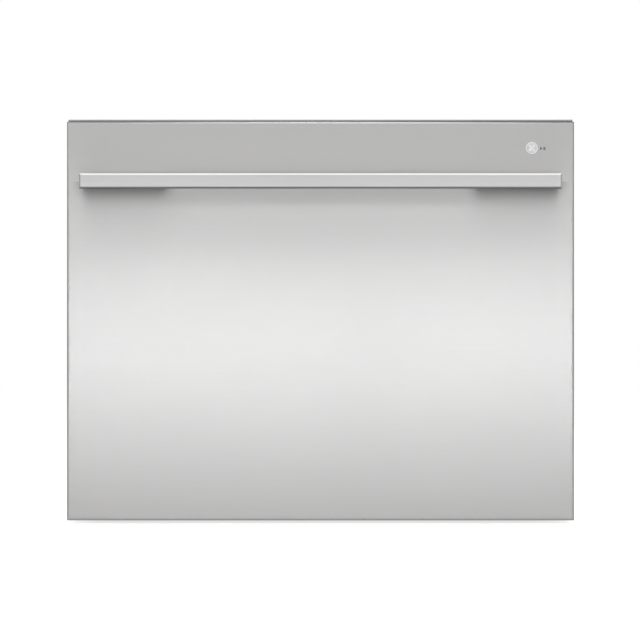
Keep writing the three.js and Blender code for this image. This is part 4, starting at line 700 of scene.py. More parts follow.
# %% [markdown]
# ## Growing pieces from node trees
# Wires, screws, ribs and perforations repeat, so Geometry Nodes make them. Two trees are enough. One
# turns a chain of points into a round wire with bent corners. The other puts a small part on every
# point of a list, turned as the point says, and welds neighbours that touch. `grown` runs a tree and
# keeps the result as a plain mesh, because finished pieces carry no live tree.

# %% Node trees
def new_tree(name, **inputs):
    """A geometry tree with the given inputs, each as its kind and its first value."""
    tree = bpy.data.node_groups.new(name, "GeometryNodeTree")
    tree.interface.new_socket("Geometry", in_out="INPUT", socket_type="NodeSocketGeometry")
    for label, (kind, value) in {**inputs, "Finish": ("Material", None)}.items():
        socket = tree.interface.new_socket(label, in_out="INPUT", socket_type="NodeSocket" + kind)
        if value is not None:
            socket.default_value = value
    tree.interface.new_socket("Geometry", in_out="OUTPUT", socket_type="NodeSocketGeometry")
    return tree, tree.nodes.new("NodeGroupInput").outputs


def finish_tree(tree, given, geometry):
    whole = put(tree, "GeometryNodeRealizeInstances", {0: geometry})
    weld = put(tree, "GeometryNodeMergeByDistance", {0: whole.outputs[0], "Distance": WELD})
    coat = put(tree, "GeometryNodeSetMaterial", {"Geometry": weld.outputs[0], "Material": given["Finish"]})
    put(tree, "NodeGroupOutput", {0: coat.outputs[0]})
    return tree


def wire_tree():
    tree, given = new_tree(
        "bent_wire", Radius=("Float", 2 * MM), Bend=("Float", 6 * MM), Sides=("Int", 10),
    )
    path = put(tree, "GeometryNodeMeshToCurve", {0: given["Geometry"]})
    bent = put(tree, "GeometryNodeFilletCurve", {
        "Curve": path.outputs[0], "Radius": given["Bend"], "Limit Radius": True, "Count": 5,
    }, mode="POLY")
    size = {"Resolution": given["Sides"], "Radius": given["Radius"]}
    ring = put(tree, "GeometryNodeCurvePrimitiveCircle", size)
    skin = put(tree, "GeometryNodeCurveToMesh", {
        "Curve": bent.outputs[0], "Profile Curve": ring.outputs[0], "Fill Caps": True,
    })
    return finish_tree(tree, given, skin.outputs[0])


def scatter_tree():
    tree, given = new_tree("part_on_points", Part=("Object", None), Size=("Vector", (1, 1, 1)))
    part = put(tree, "GeometryNodeObjectInfo", {"Object": given["Part"]})
    turn = put(tree, "GeometryNodeInputNamedAttribute", {"Name": "turn"}, data_type="FLOAT_VECTOR")
    rotation = put(tree, "FunctionNodeEulerToRotation", {0: turn.outputs["Attribute"]})
    each = put(tree, "GeometryNodeInstanceOnPoints", {
        "Points": given["Geometry"], "Instance": part.outputs["Geometry"],
        "Rotation": rotation.outputs[0], "Scale": given["Size"],
    })
    return finish_tree(tree, given, each.outputs[0])


WIRE_TREE = wire_tree()
SCATTER_TREE = scatter_tree()


def grown(base, tree, values, material, thickness=0.0):
    """The mesh that a tree makes of a base mesh, thickened if asked."""
    seed = new_object("seed", base)
    modifier = seed.modifiers.new("grow", "NODES")
    modifier.node_group = tree
    values = {**values, "Finish": material}
    for item in tree.interface.items_tree:
        if item.in_out == "INPUT" and item.name in values:
            modifier[item.identifier] = values[item.name]
    if thickness:
        wall = seed.modifiers.new("wall", "SOLIDIFY")
        wall.thickness = thickness
        wall.offset = 0
    seen = seed.evaluated_get(bpy.context.evaluated_depsgraph_get())
    mesh = bpy.data.meshes.new_from_object(seen)
    bpy.data.objects.remove(seed)
    return mesh


def piece_of(name, meshes, material):
    bm = bmesh.new()
    for mesh in meshes:
        bm.from_mesh(mesh)
    return new_piece(name, bm, material)


print("trees:", WIRE_TREE.name, SCATTER_TREE.name)

# %% [markdown]
# ## Wires and scattered parts
# `wires` takes each run as a list of corner points; a run that ends where it began is a closed ring.
# `scattered` takes places as a point and a turn. `ringed` joins rings of points into a mesh, and
# `turned` makes round parts with it as on a lathe. It can pull two corners of every three inwards,
# which turns a round recess into a cross. `detail` adds parts that ride with a solid.

# %% Makers
CROSS_SHARE = 0.36
WIRE_BEND = 6 * MM


def facing(normal, lengthways):
    """The turn that points a part's Z along the normal and its X lengthways."""
    z, x = Vector(normal), Vector(lengthways)
    return tuple(Matrix((x, z.cross(x), z)).transposed().to_euler())


UP = facing((0, 0, 1), (1, 0, 0))
DOWN = facing((0, 0, -1), (1, 0, 0))
FRONT = facing((0, -1, 0), (1, 0, 0))
BACK = facing((0, 1, 0), (1, 0, 0))
RIGHT = facing((1, 0, 0), (0, 0, -1))


def along(start, end, count):
    return [start + (end - start) * i / (count - 1) for i in range(count)]


def circle(count, radius, start=0.0):
    angles = [2 * math.pi * i / count + start for i in range(count)]
    return [(radius * math.cos(angle), radius * math.sin(angle)) for angle in angles]


def wires(runs, radius, material, bend=WIRE_BEND, sides=10):
    points, edges = [], []
    for run in runs:
        closed = len(run) > 2 and run[0] == run[-1]
        corners = run[:-1] if closed else run
        start = len(points)
        points += corners
        edges += [(start + i, start + i + 1) for i in range(len(corners) - 1)]
        if closed:
            edges.append((start + len(corners) - 1, start))
    base = bpy.data.meshes.new("runs")
    base.from_pydata(points, edges, [])
    return grown(base, WIRE_TREE, {"Radius": radius, "Bend": bend, "Sides": sides}, material)


def scattered(part, places, material, size=(1, 1, 1), thickness=0.0):
    base = bpy.data.meshes.new("places")
    base.from_pydata([point for point, turn in places], [], [])
    turns = base.attributes.new("turn", "FLOAT_VECTOR", "POINT")
    turns.data.foreach_set("vector", [angle for point, turn in places for angle in turn])
    sample = bpy.data.objects.new("sample", part)
    mesh = grown(base, SCATTER_TREE, {"Part": sample, "Size": size}, material, thickness)
    bpy.data.objects.remove(sample)
    return mesh


def ringed(rings, closed=False):
    """Joins each ring of points to the next. A ring may be one point, and both ends may be closed."""
    bm = bmesh.new()
    rings = [[bm.verts.new(point) for point in ring] for ring in rings]
    for low, high in zip(rings, rings[1:]):
        for side in range(max(len(low), len(high))):
            after = side + 1
            corners = [low[side % len(low)], low[after % len(low)]]
            corners += [high[after % len(high)], high[side % len(high)]]
            bm.faces.new(list(dict.fromkeys(corners)))
    if closed:
        bm.faces.new(rings[0])
        bm.faces.new(rings[-1])
    bmesh.ops.recalc_face_normals(bm, faces=bm.faces)
    mesh = bpy.data.meshes.new("part")
    bm.to_mesh(mesh)
    bm.free()
    return mesh


def turned(profile, sides, cross=()):
    rings = []
    for index, (radius, height) in enumerate(profile):
        ring = circle(sides if radius else 1, 1.0)
        inner = CROSS_SHARE if index in cross else 1.0
        reaches = [radius * (inner if side % 3 else 1.0) for side in range(len(ring))]
        rings.append([(reach * x, reach * y, height) for reach, (x, y) in zip(reaches, ring)])
    return ringed(rings)


def detail(name, node, material, *sets):
    """Small parts that stand for no solid but ride with one. Each set is a part and its places."""
    meshes = [scattered(part, places, material) for part, places in sets]
    ride_with(piece_of(name, meshes, material), node)


print("makers ready")

# %% [markdown]
# ## Rack
# A dishwasher rack is bent and welded steel wire dipped in soft plastic. Thick wires carry the load
# at the rim and floor, thinner ones fill in. Real wires cross one above the other, so the floor's two
# directions lie at two heights. Tines end in domes, because a cut end would be sharp.

# %% Rack wires
RIM_RADIUS = 2.0 * MM
THIN_RADIUS = 1.7 * MM
CROSSING = 0.3 * MM
CORNER_BEND = 12 * MM
POST_COUNT = 16
POST_LIFT = 4 * MM
SIDE_INSET = 4.5 * MM
FLOOR_COLUMNS = 19
FLOOR_ROWS = 16
floor_low, floor_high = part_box("rack_floor")
side_low, side_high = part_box("rack_side_right")
RACK_X = (side_low.x + side_high.x) / 2
RACK_FRONT = floor_low.y + RIM_RADIUS
RACK_BACK = floor_high.y - RIM_RADIUS
RACK_TOP = side_high.z - RIM_RADIUS
RACK_FLOOR = (floor_low.z + floor_high.z) / 2


def loop(x0, x1, y0, y1, z):
    return [(x0, y0, z), (x1, y0, z), (x1, y1, z), (x0, y1, z), (x0, y0, z)]


def wire_piece(name, *sets, tips=()):
    """Stands coated wires in for a solid. Each set is its runs, their radius and perhaps a bend."""
    meshes = [wires(runs, radius, wire_coating, *bend) for runs, radius, *bend in sets]
    stand_in(piece_of(name + "_wires", [*meshes, *tips], wire_coating), name)


def rack_floor():
    x, front, back, z = RACK_X, RACK_FRONT, RACK_BACK, RACK_FLOOR
    low, high = z - CROSSING, z + CROSSING
    lengthwise = [[(u, front, low), (u, back, low)] for u in along(-x, x, FLOOR_COLUMNS)[1:-1]]
    crosswise = [[(-x, v, high), (x, v, high)] for v in along(front, back, FLOOR_ROWS)[1:-1]]
    rim = [loop(-x, x, front, back, z)]
    wire_piece("rack_floor", (rim, RIM_RADIUS, CORNER_BEND), (lengthwise + crosswise, THIN_RADIUS))


def rack_wall(name, x0, x1, y0, y1):
    """Upright wires under a thick top wire, with two thin level ones, from one corner to another."""
    middle = (RACK_FLOOR + RACK_TOP) / 2
    posts = zip(along(x0, x1, POST_COUNT), along(y0, y1, POST_COUNT))
    uprights = [[(x, y, RACK_FLOOR + POST_LIFT), (x, y, RACK_TOP)] for x, y in posts]
    levels = [[(x0, y0, z), (x1, y1, z)] for z in (middle, (middle + RACK_TOP) / 2)]
    head = [[(x0, y0, RACK_TOP), (x1, y1, RACK_TOP)]]
    wire_piece(name, (uprights + levels, THIN_RADIUS), (head, RIM_RADIUS))


rack_floor()
for label, side in SIDES:
    x = side * RACK_X
    rack_wall(f"rack_side_{label}", x, x, RACK_FRONT + SIDE_INSET, RACK_BACK - SIDE_INSET)
for label, y in (("front", RACK_FRONT), ("back", RACK_BACK)):
    rack_wall(f"rack_{label}", -RACK_X, RACK_X, y, y)

# %% Tines and cup shelves
TINE_RADIUS = 2.0 * MM
TINE_COUNT = 10
TINE_PITCH = 32 * MM
DOME_PROFILE = ((0, 0), (1, 0), (0.87, 0.5), (0.5, 0.87), (0, 1))
ROD_RADIUS = 2.5 * MM
ROD_OVERHANG = 8 * MM
SHELF_RADIUS = 2.3 * MM
SHELF_BEND = 14 * MM
SHELF_INSET = 10 * MM
SHELF_WIRES = 9


def tine_row(name):
    low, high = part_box(name)
    y, rod = (low.y + high.y) / 2, low.z + ROD_RADIUS
    first, neck = low.x + ROD_OVERHANG, high.z - TINE_RADIUS
    xs = [first + i * TINE_PITCH for i in range(TINE_COUNT)]
    dome = turned([(TINE_RADIUS * r, TINE_RADIUS * z) for r, z in DOME_PROFILE], sides=10)
    axle, tines = [[(low.x, y, rod), (high.x, y, rod)]], [[(x, y, rod), (x, y, neck)] for x in xs]
    tips = scattered(dome, [((x, y, neck), UP) for x in xs], wire_coating)
    wire_piece(name, (axle, ROD_RADIUS), (tines, TINE_RADIUS), tips=[tips])


def cup_shelf(name, side):
    low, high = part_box(name)
    outer, inner = (high.x, low.x) if side > 0 else (low.x, high.x)
    hinge, tip, z = outer - side * ROD_RADIUS, inner + side * SHELF_RADIUS, (low.z + high.z) / 2
    y0, y1, middle = low.y + SHELF_INSET, high.y - SHELF_INSET, (hinge + tip) / 2
    outline = [(hinge, y0, z), (tip, y0, z), (tip, y1, z), (hinge, y1, z)]
    bars = [[(hinge, y, z), (tip, y, z)] for y in along(y0, y1, SHELF_WIRES)[1:-1]]
    bars.append([(middle, y0, z), (middle, y1, z)])
    axle = [[(hinge, low.y, z), (hinge, high.y, z)]]
    wire_piece(name, (axle, ROD_RADIUS), ([outline], SHELF_RADIUS, SHELF_BEND), (bars, THIN_RADIUS))


for row in ("front", "middle", "back"):
    tine_row(f"tine_row_{row}")
for label, side in SIDES:
    cup_shelf(f"cup_shelf_{label}", side)
print("rack wires bent and welded")

# %% [markdown]
# ## Cutlery basket
# The basket is one moulding whose walls are a lattice, so that water reaches the cutlery. One square
# tile with a hole is laid side by side over each wall and welded to its neighbours, and the sheet
# that results is thickened. Round rails close its rim and corners, and carry the grip.

# %% Basket lattice
LATTICE_WALL = 2.0 * MM
LATTICE_CELL = 11 * MM
HOLE_SHARE = 0.66
TILE_REACH = math.sqrt(0.5)
COMPARTMENTS = 3
RAIL = 1.9 * MM
RAIL_BEND = 4 * MM
GRIP_RADIUS = 2.6 * MM
GRIP_BEND = 9 * MM
GRIP_HEIGHT = 26 * MM
GRIP_INSET = 29 * MM
basket_low, basket_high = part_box("cutlery_basket")


def holed_tile(corners, share):
    """A flat tile with its corners one unit from its middle, and a hole of a share of its size."""
    outlines = [circle(corners, reach, math.pi / corners) for reach in (1.0, share)]
    return ringed([[(x, y, 0) for x, y in outline] for outline in outlines])


def lattice_sheet(origin, across, up, turn, swap=False):
    """Covers the rectangle that two edges span. The tile's X runs along the second edge if swapped."""
    origin, across, up = Vector(origin), Vector(across), Vector(up)
    columns, rows = round(across.length / LATTICE_CELL), round(up.length / LATTICE_CELL)
    places = []
    for column in range(columns):
        for row in range(rows):
            point = origin + across * ((column + 0.5) / columns) + up * ((row + 0.5) / rows)
            places.append((tuple(point), turn))
    wide, tall = TILE_REACH * across.length / columns, TILE_REACH * up.length / rows
    size = (tall, wide, 1) if swap else (wide, tall, 1)
    return scattered(holed_tile(4, HOLE_SHARE), places, basket_plastic, size, LATTICE_WALL)


def cutlery_basket():
    half = LATTICE_WALL / 2
    x0, x1 = basket_low.x + half, basket_high.x - half
    y0, y1 = basket_low.y + half, basket_high.y - half
    z0, z1 = basket_low.z + half, basket_high.z - GRIP_HEIGHT - RAIL
    wide, deep, tall = (x1 - x0, 0, 0), (0, y1 - y0, 0), (0, 0, z1 - z0)
    middle, foot = (y0 + y1) / 2, basket_low.z + RAIL
    walls = along(x0, x1, COMPARTMENTS + 1)
    sheets = [lattice_sheet((x0, y0, z0), wide, deep, UP)]
    sheets += [lattice_sheet((x0, y, z0), wide, tall, FRONT) for y in (y0, middle, y1)]
    sheets += [lattice_sheet((x, y0, z0), deep, tall, RIGHT, True) for x in walls]
    rails = [loop(x0, x1, y0, y1, z) for z in (z1, foot)]
    rails += [[(x, y, foot), (x, y, z1)] for x in (x0, x1) for y in (y0, y1)]
    rails += [[(x, y0, z1), (x, y1, z1)] for x in walls[1:-1]]
    rails.append([(x0, middle, z1), (x1, middle, z1)])
    left, right, top = x0 + GRIP_INSET, x1 - GRIP_INSET, basket_high.z - GRIP_RADIUS
    grip = [(left, middle, z1), (left, middle, top), (right, middle, top), (right, middle, z1)]
    sheets.append(wires(rails, RAIL, basket_plastic, RAIL_BEND))
    sheets.append(wires([grip], GRIP_RADIUS, basket_plastic, GRIP_BEND))
    return stand_in(piece_of("cutlery_basket_lattice", sheets, basket_plastic), "cutlery_basket")


print("basket lattice faces:", len(cutlery_basket().data.polygons))

# %% [markdown]
# ## Filter plate and spray arm
# The plate over the sump is a steel disc punched with round holes between three plain borders.
# Six-sided tiles fill it like a honeycomb, and only those whose middle lies on the sheet are laid.
# The arm is blow moulded, with raised jets set alternately to either side of its ridge. Here and
# below, a row is given as its first place, its last place and its count.

# %% Perforated plate
DRAIN_HOLE = 27.3 * MM
SPINDLE_HOLE = 11.3 * MM
HOLE_PITCH = 6.2 * MM
HOLE_RING = 0.60
BORDER = 5 * MM
BORDER_LAP = 0.6 * HOLE_PITCH
PUNCHED_SHEET = 0.8 * MM
plate_low, plate_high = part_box("filter_plate")
drain_low, drain_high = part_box("drain_filter")
SUMP_MIDDLE = middle_of("filter_plate")
DRAIN_MIDDLE = middle_of("drain_filter")
PLATE_RADIUS = (plate_high.x - plate_low.x) / 2


def honeycomb(pitch, reach):
    row_step = pitch * math.sqrt(3) / 2
    rows, columns = int(reach / row_step) + 1, int(reach / pitch) + 1
    return [
        ((column + 0.5 * (row % 2)) * pitch, row * row_step)
        for row in range(-rows, rows + 1) for column in range(-columns, columns + 1)
    ]


def washer(centre, inner, sides):
    low, high, outer = plate_low.z, plate_high.z, inner + BORDER + BORDER_LAP
    ring = turned([(inner, low), (outer, low), (outer, high), (inner, high), (inner, low)], sides)
    ring.transform(Matrix.Translation((centre.x, centre.y, 0)))
    return ring


def filter_plate():
    places = []
    for u, v in honeycomb(HOLE_PITCH, PLATE_RADIUS):
        point = SUMP_MIDDLE + Vector((u, v, 0))
        from_drain = (point - DRAIN_MIDDLE).xy.length
        on_disc = SPINDLE_HOLE + BORDER < math.hypot(u, v) < PLATE_RADIUS - BORDER
        if on_disc and from_drain > DRAIN_HOLE + BORDER:
            places.append((tuple(point), UP))
    reach = HOLE_PITCH / math.sqrt(3)
    tile = holed_tile(6, HOLE_RING)
    sheet = scattered(tile, places, filter_steel, (reach, reach, 1), PUNCHED_SHEET)
    borders = [
        washer(SUMP_MIDDLE, PLATE_RADIUS - BORDER - BORDER_LAP, sides=72),
        washer(SUMP_MIDDLE, SPINDLE_HOLE, sides=32), washer(DRAIN_MIDDLE, DRAIN_HOLE, sides=48),
    ]
    print("punched holes:", len(places))
    stand_in(piece_of("filter_plate_punched", [sheet] + borders, filter_steel), "filter_plate")


filter_plate()

# %% Spray jets
JET_RADIUS = 4.2 * MM
JET_FOOT = -1 * MM
JET_SHOULDER = 0.4 * MM
JET_TOP = 1.5 * MM
JET_FLOOR = 0.1 * MM
JET_ROW = (44 * MM, 208 * MM, 9)
JET_OFFSET = 5.5 * MM
RIDGE_HEIGHT = 3 * MM
JET_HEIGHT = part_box("spray_arm")[1].z - RIDGE_HEIGHT


def spray_jets():
    r, y = JET_RADIUS, middle_of("spray_arm").y
    jet = turned([
        (0, JET_FOOT), (1.35 * r, JET_FOOT), (1.2 * r, JET_SHOULDER), (r, JET_TOP), (0.62 * r, JET_TOP),
        (0.5 * r, JET_FLOOR), (0, JET_FLOOR),
    ], sides=12)
    places = []
    for side in (-1, 1):
        for i, reach in enumerate(along(*JET_ROW)):
            places.append(((side * reach, y + JET_OFFSET * (-1) ** i * side, JET_HEIGHT), UP))
    detail("spray_jets", "spray_arm", grey_plastic, (jet, places))


spray_jets()
print("filter plate and spray arm done")

# %% [markdown]
# ## Pressed beads, rivets and screws
# Large sheets drum unless long beads are pressed into them, so both sides and the top carry some.
# The runners are riveted through the sides, and the back sheet is screwed on. Nothing may stand out
# past the machine's own outline, so the back sheet is set in by half its thickness, and its beads and
# flat screw heads come back out to where it was. Beads are given as length, width and height.

# %% Beads and fixings
SINK = 0.3 * MM
BEAD_PROFILE = ((0, 0), (0.05, 0.6), (0.10, 0.92), (0.18, 1))
SCREW_PROFILE = ((1, 0.4), (0.8, 0.85), (0.62, 1), (0.48, 1), (0.40, 0.25), (0, 0.25))
RIVET_PROFILE = ((1, 0.1), (0.75, 0.24), (0.3, 0.28), (0.25, 0.16), (0, 0.16))
SIDE_BEAD = (400 * MM, 16 * MM, 1.8 * MM)
SIDE_BEAD_ROW = (-170 * MM, 230 * MM, 5)
SIDE_BEAD_ENDS = 70 * MM
LOW_BEAD_HEIGHT = 80 * MM
TOP_BEAD = (400 * MM, 22 * MM, 3.2 * MM)
TOP_BEAD_ROW = (-220 * MM, 220 * MM, 5)
LONG_BEAD_MIDDLE = 30 * MM
RIVET_RADIUS = 4.2 * MM
RIVET_INSET = 30 * MM
RIVET_COUNT = 6
shell_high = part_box("cabinet_shell")[1]
runner_low, runner_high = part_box("runner_outer_right")


def bead(length, width, height, steps=7):
    """A long low hump with round ends, along X, standing up in Z from a closed foot."""
    straight = (length - width) / 2
    angles = [math.pi * (i / steps - 0.5) for i in range(steps + 1)]
    rings = []
    for inset, z in [(0, -SINK)] + [(inset, share * height) for inset, share in BEAD_PROFILE]:
        radius = width * (0.5 - inset)
        half = [(straight + radius * math.cos(angle), radius * math.sin(angle)) for angle in angles]
        rings.append([(end * x, end * y, z) for end in (1, -1) for x, y in half])
    return ringed(rings, closed=True)


def round_head(radius, height, profile, sides, cross=()):
    """A round head on a sunk foot. Its profile is given in shares of its radius and its height."""
    foot = [(0, -SINK), (radius, -SINK)]
    return turned(foot + [(radius * r, height * z) for r, z in profile], sides, cross)


def screw_head(radius, height):
    return round_head(radius, height, SCREW_PROFILE, sides=12, cross=(5, 6))


def side_details():
    free = shell_high.z - runner_high.z
    bead_z, rivet_z = (runner_high.z + shell_high.z) / 2, (runner_low.z + runner_high.z) / 2
    rivet_row = (runner_low.y + RIVET_INSET, runner_high.y - RIVET_INSET, RIVET_COUNT)
    uprights, levels, rivets = [], [], []
    for side in (-1, 1):
        x, face = side * shell_high.x, facing((side, 0, 0), (0, 0, 1))
        uprights += [((x, y, bead_z), face) for y in along(*SIDE_BEAD_ROW)]
        levels.append(((x, LONG_BEAD_MIDDLE, LOW_BEAD_HEIGHT), facing((side, 0, 0), (0, 1, 0))))
        rivets += [((x, y, rivet_z), face) for y in along(*rivet_row)]
    upright, level = bead(free - SIDE_BEAD_ENDS, *SIDE_BEAD[1:]), bead(*SIDE_BEAD)
    rivet = round_head(RIVET_RADIUS, RIVET_RADIUS, RIVET_PROFILE, sides=14)
    detail("side_beads", "cabinet_shell", zinc, (upright, uprights), (level, levels))
    detail("runner_rivets", "cabinet_shell", runner_steel, (rivet, rivets))


def top_beads():
    face = facing((0, 0, 1), (0, 1, 0))
    places = [((x, LONG_BEAD_MIDDLE, shell_high.z), face) for x in along(*TOP_BEAD_ROW)]
    detail("top_beads", "cabinet_shell", zinc, (bead(*TOP_BEAD), places))


side_details()
top_beads()

# %% Back sheet
BACK_SHEET = 0.6 * MM
BACK_TOLERANCE = 0.1 * MM
BACK_BEAD = 440 * MM
BACK_BEAD_WIDTH = 18 * MM
BACK_BEAD_ROW = (205 * MM, 415 * MM, 4)
EDGE_SCREW = 3.6 * MM
BACK_MARGIN = 9 * MM
UPRIGHT_SCREWS = 5
BACK_SCREWS = 6
back_low, back_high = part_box("cabinet_back")


def back_sheet():
    bm = merged("cabinet_back")
    face = back_low.y + BACK_SHEET
    for corner in bm.verts:
        if corner.co.y > back_high.y - BACK_TOLERANCE:
            corner.co.y = face
    stand_in(new_piece("cabinet_back_sheet", bm, zinc), "cabinet_back")
    proud = back_high.y - face
    low, high = inset_box("cabinet_back", BACK_MARGIN)
    beads = [((0, face, z), BACK) for z in along(*BACK_BEAD_ROW)]
    screws = [((x, face, z), BACK) for x in (low.x, high.x) for z in along(low.z, high.z, UPRIGHT_SCREWS)]
    screws += [((x, face, high.z), BACK) for x in along(low.x, high.x, BACK_SCREWS)[1:-1]]
    detail("back_beads", "cabinet_back", zinc, (bead(BACK_BEAD, BACK_BEAD_WIDTH, proud), beads))
    detail("back_screws", "cabinet_back", runner_steel, (screw_head(EDGE_SCREW, proud), screws))


back_sheet()
print("cabinet sheets pressed, riveted and screwed")

# %% [markdown]
# ## Water and power at the back
# Three connections look out of the service opening: the inlet valve's thread, the drain's spigot and
# the gland of the terminal box. Their ends are solid in the frame. Sinking an inset of each end face
# gives the bore. Rings along the valve's barrel give its thread, and screws hold the box's lid.

# %% Bores and threads
THREAD_RADIUS = 11 * MM
THREAD_DROP = 13 * MM
THREAD_TURNS = (301.8 * MM, 304.0 * MM)
FACING_BACK = 0.99
COLLAR_SHARE = 0.8
VALVE_BLOCK = 39 * MM
BORE_TAPER = 0.05 * MM
LID_SCREW = 3 * MM
LID_SCREW_PROUD = 1.6 * MM
LID_SCREW_INSET = 7 * MM
GLAND_LENGTH = 4.1 * MM


def bored(name, material, width, wall, depth):
    """Sinks the solid's rearmost face, but for a wall round its edge, and eases the edges."""
    bm = merged(name)
    looking = [f for f in bm.faces if f.normal.y > FACING_BACK]
    rearmost = max(looking, key=lambda f: (round(f.calc_center_median().y, 4), f.calc_area()))
    bmesh.ops.inset_individual(bm, faces=[rearmost], thickness=wall)
    bmesh.ops.inset_individual(bm, faces=[rearmost], thickness=BORE_TAPER, depth=-depth)
    soften(bm, width)
    stand_in(new_piece(name + "_bored", bm, material), name)


def collar(radius, proud, length):
    """A ring with a ridge, to thread on a barrel."""
    inner, end = COLLAR_SHARE * radius, length / 2
    return turned([
        (inner, -end), (radius, -end), (radius + proud, 0), (radius, end), (inner, end), (inner, -end),
    ], sides=28)


def rear_connections():
    bored("inlet_valve", grey_plastic, width=0.4 * MM, wall=2.2 * MM, depth=12 * MM)
    bored("drain_outlet", grey_plastic, width=0.3 * MM, wall=1.5 * MM, depth=12 * MM)
    bored("terminal_box", black_plastic, width=0.6 * MM, wall=2.5 * MM, depth=8 * MM)
    x, z = middle_of("inlet_valve").x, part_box("inlet_valve")[0].z + VALVE_BLOCK - THREAD_DROP
    turns = [((x, y, z), BACK) for y in THREAD_TURNS]
    ridge = collar(THREAD_RADIUS, proud=1.0 * MM, length=1.8 * MM)
    detail("inlet_thread", "inlet_valve", grey_plastic, (ridge, turns))
    low, high = inset_box("terminal_box", LID_SCREW_INSET)
    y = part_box("terminal_box")[1].y - GLAND_LENGTH
    corners = [((x, y, z), BACK) for x in (low.x, high.x) for z in (low.z, high.z)]
    screw = screw_head(LID_SCREW, LID_SCREW_PROUD)
    detail("terminal_screws", "terminal_box", runner_steel, (screw, corners))


rear_connections()
print("rear connections bored and threaded")

# %% [markdown]
# ## Fill and drain hoses
# Both hoses leave the pedestal straight, bend once and meet their connections square. The route is
# a smooth curve through five points, worked out with the same rule that the solid uses, so the hose
# lies where the solid lay. Ribs that follow the route make it a bellows hose that bends easily.

# %% Ribbed hoses
HOSE_STRAIGHT = 45 * MM
HOSE_START = 6.3 * MM
ROUTE_STEPS = 12
HOSE_RIB_PITCH = 3.4 * MM
HOSE_RIB = 2.2 * MM
CORE_SHARE = 0.9
RIB_FOOT_SHARE = 0.88
FILL_RADIUS = 5 * MM
DRAIN_RADIUS = 7 * MM
FILL_START = (-198 * MM, 22.1 * MM)
FILL_END = (-222.5 * MM, 256.6 * MM, 22.1 * MM)
DRAIN_START = (-181.7 * MM, 24.1 * MM)
DRAIN_END = (-150.5 * MM, 270.6 * MM, 27.1 * MM)


def between(p0, p1, p2, p3, share):
    """A point of the centripetal curve from p1 to p2."""
    knots = [0.0]
    for a, b in ((p0, p1), (p1, p2), (p2, p3)):
        knots.append(knots[-1] + math.sqrt((b - a).length))
    t0, t1, t2, t3 = knots
    t = t1 + (t2 - t1) * share

    def mixed(a, b, start, end):
        return a * ((end - t) / (end - start)) + b * ((t - start) / (end - start))

    middle = mixed(p1, p2, t1, t2)
    before = mixed(mixed(p0, p1, t0, t1), middle, t0, t2)
    after = mixed(middle, mixed(p2, p3, t2, t3), t1, t3)
    return mixed(before, after, t1, t2)


def smooth_route(corners):
    points = [Vector(c) for c in corners]
    points = [2 * points[0] - points[1]] + points + [2 * points[-1] - points[-2]]
    route = []
    for i in range(1, len(points) - 2):
        route += [between(*points[i - 1:i + 3], step / ROUTE_STEPS) for step in range(ROUTE_STEPS)]
    return route + [points[-2]]


def ribbed_hose(name, start, end, radius, material):
    (x0, z0), (x1, y1, z1) = start, end
    middle = ((x0 + x1) / 2, (HOSE_START + y1) / 2, (z0 + z1) / 2)
    route = smooth_route([
        (x0, HOSE_START, z0), (x0, HOSE_START + HOSE_STRAIGHT, z0), middle,
        (x1, y1 - HOSE_STRAIGHT, z1), (x1, y1, z1),
    ])
    places, travelled = [], 0.0
    for a, b in zip(route, route[1:]):
        tangent = (b - a).normalized()
        while travelled < (b - a).length:
            place = a + tangent * travelled
            if HOSE_START + 2 * radius < place.y < y1 - 2 * radius:
                places.append((tuple(place), facing(tangent, tangent.orthogonal().normalized())))
            travelled += HOSE_RIB_PITCH
        travelled -= (b - a).length
    core = wires([[tuple(point) for point in route]], CORE_SHARE * radius, material, bend=0, sides=16)
    foot = RIB_FOOT_SHARE * radius
    ribs = scattered(collar(foot, radius - foot, HOSE_RIB), places, material)
    stand_in(piece_of(name + "_ribbed", [core, ribs], material), name)


ribbed_hose("fill_hose", FILL_START, FILL_END, FILL_RADIUS, hose_plastic)
ribbed_hose("drain_hose", DRAIN_START, DRAIN_END, DRAIN_RADIUS, black_rubber)
print("hoses ribbed")

# %% [markdown]
# ## Ribs of the mouldings
# A large thin moulding keeps its shape through ribs. The tub has them on its sides and back, under
# the rim's overhang. The drain filter's flange has fine ones for grip.

# %% Ribs
SIDE_WALL_INSET = 5 * MM
BACK_WALL_INSET = 4 * MM
TUB_RIM_DEPTH = 7 * MM
TUB_RIB = (2.6 * MM, 3.2 * MM)
SIDE_RIB_FOOT = 180 * MM
SIDE_RIB_ROW = (-205 * MM, 227 * MM, 11)
BACK_RIB_FOOT = 132 * MM
BACK_RIB_ROW = (-236 * MM, 236 * MM, 10)
FILTER_RIBS = 36
FILTER_RIB = (5 * MM, 1.5 * MM, 0.9 * MM)
FILTER_RIB_INSET = 3 * MM
FLANGE_DROP = 4 * MM
tub_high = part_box("tub")[1]


def tub_ribs():
    top = tub_high.z - TUB_RIM_DEPTH
    wall_x, wall_y = tub_high.x - SIDE_WALL_INSET, tub_high.y - BACK_WALL_INSET
    side_z, back_z = (SIDE_RIB_FOOT + top) / 2, (BACK_RIB_FOOT + top) / 2
    sides = [
        ((side * wall_x, y, side_z), facing((side, 0, 0), (0, 0, 1)))
        for side in (-1, 1) for y in along(*SIDE_RIB_ROW)
    ]
    face = facing((0, 1, 0), (0, 0, 1))
    rear = [((x, wall_y, back_z), face) for x in along(*BACK_RIB_ROW)]
    side_rib, back_rib = (bead(top - foot, *TUB_RIB, steps=3) for foot in (SIDE_RIB_FOOT, BACK_RIB_FOOT))
    detail("tub_ribs", "tub", tub_plastic, (side_rib, sides), (back_rib, rear))


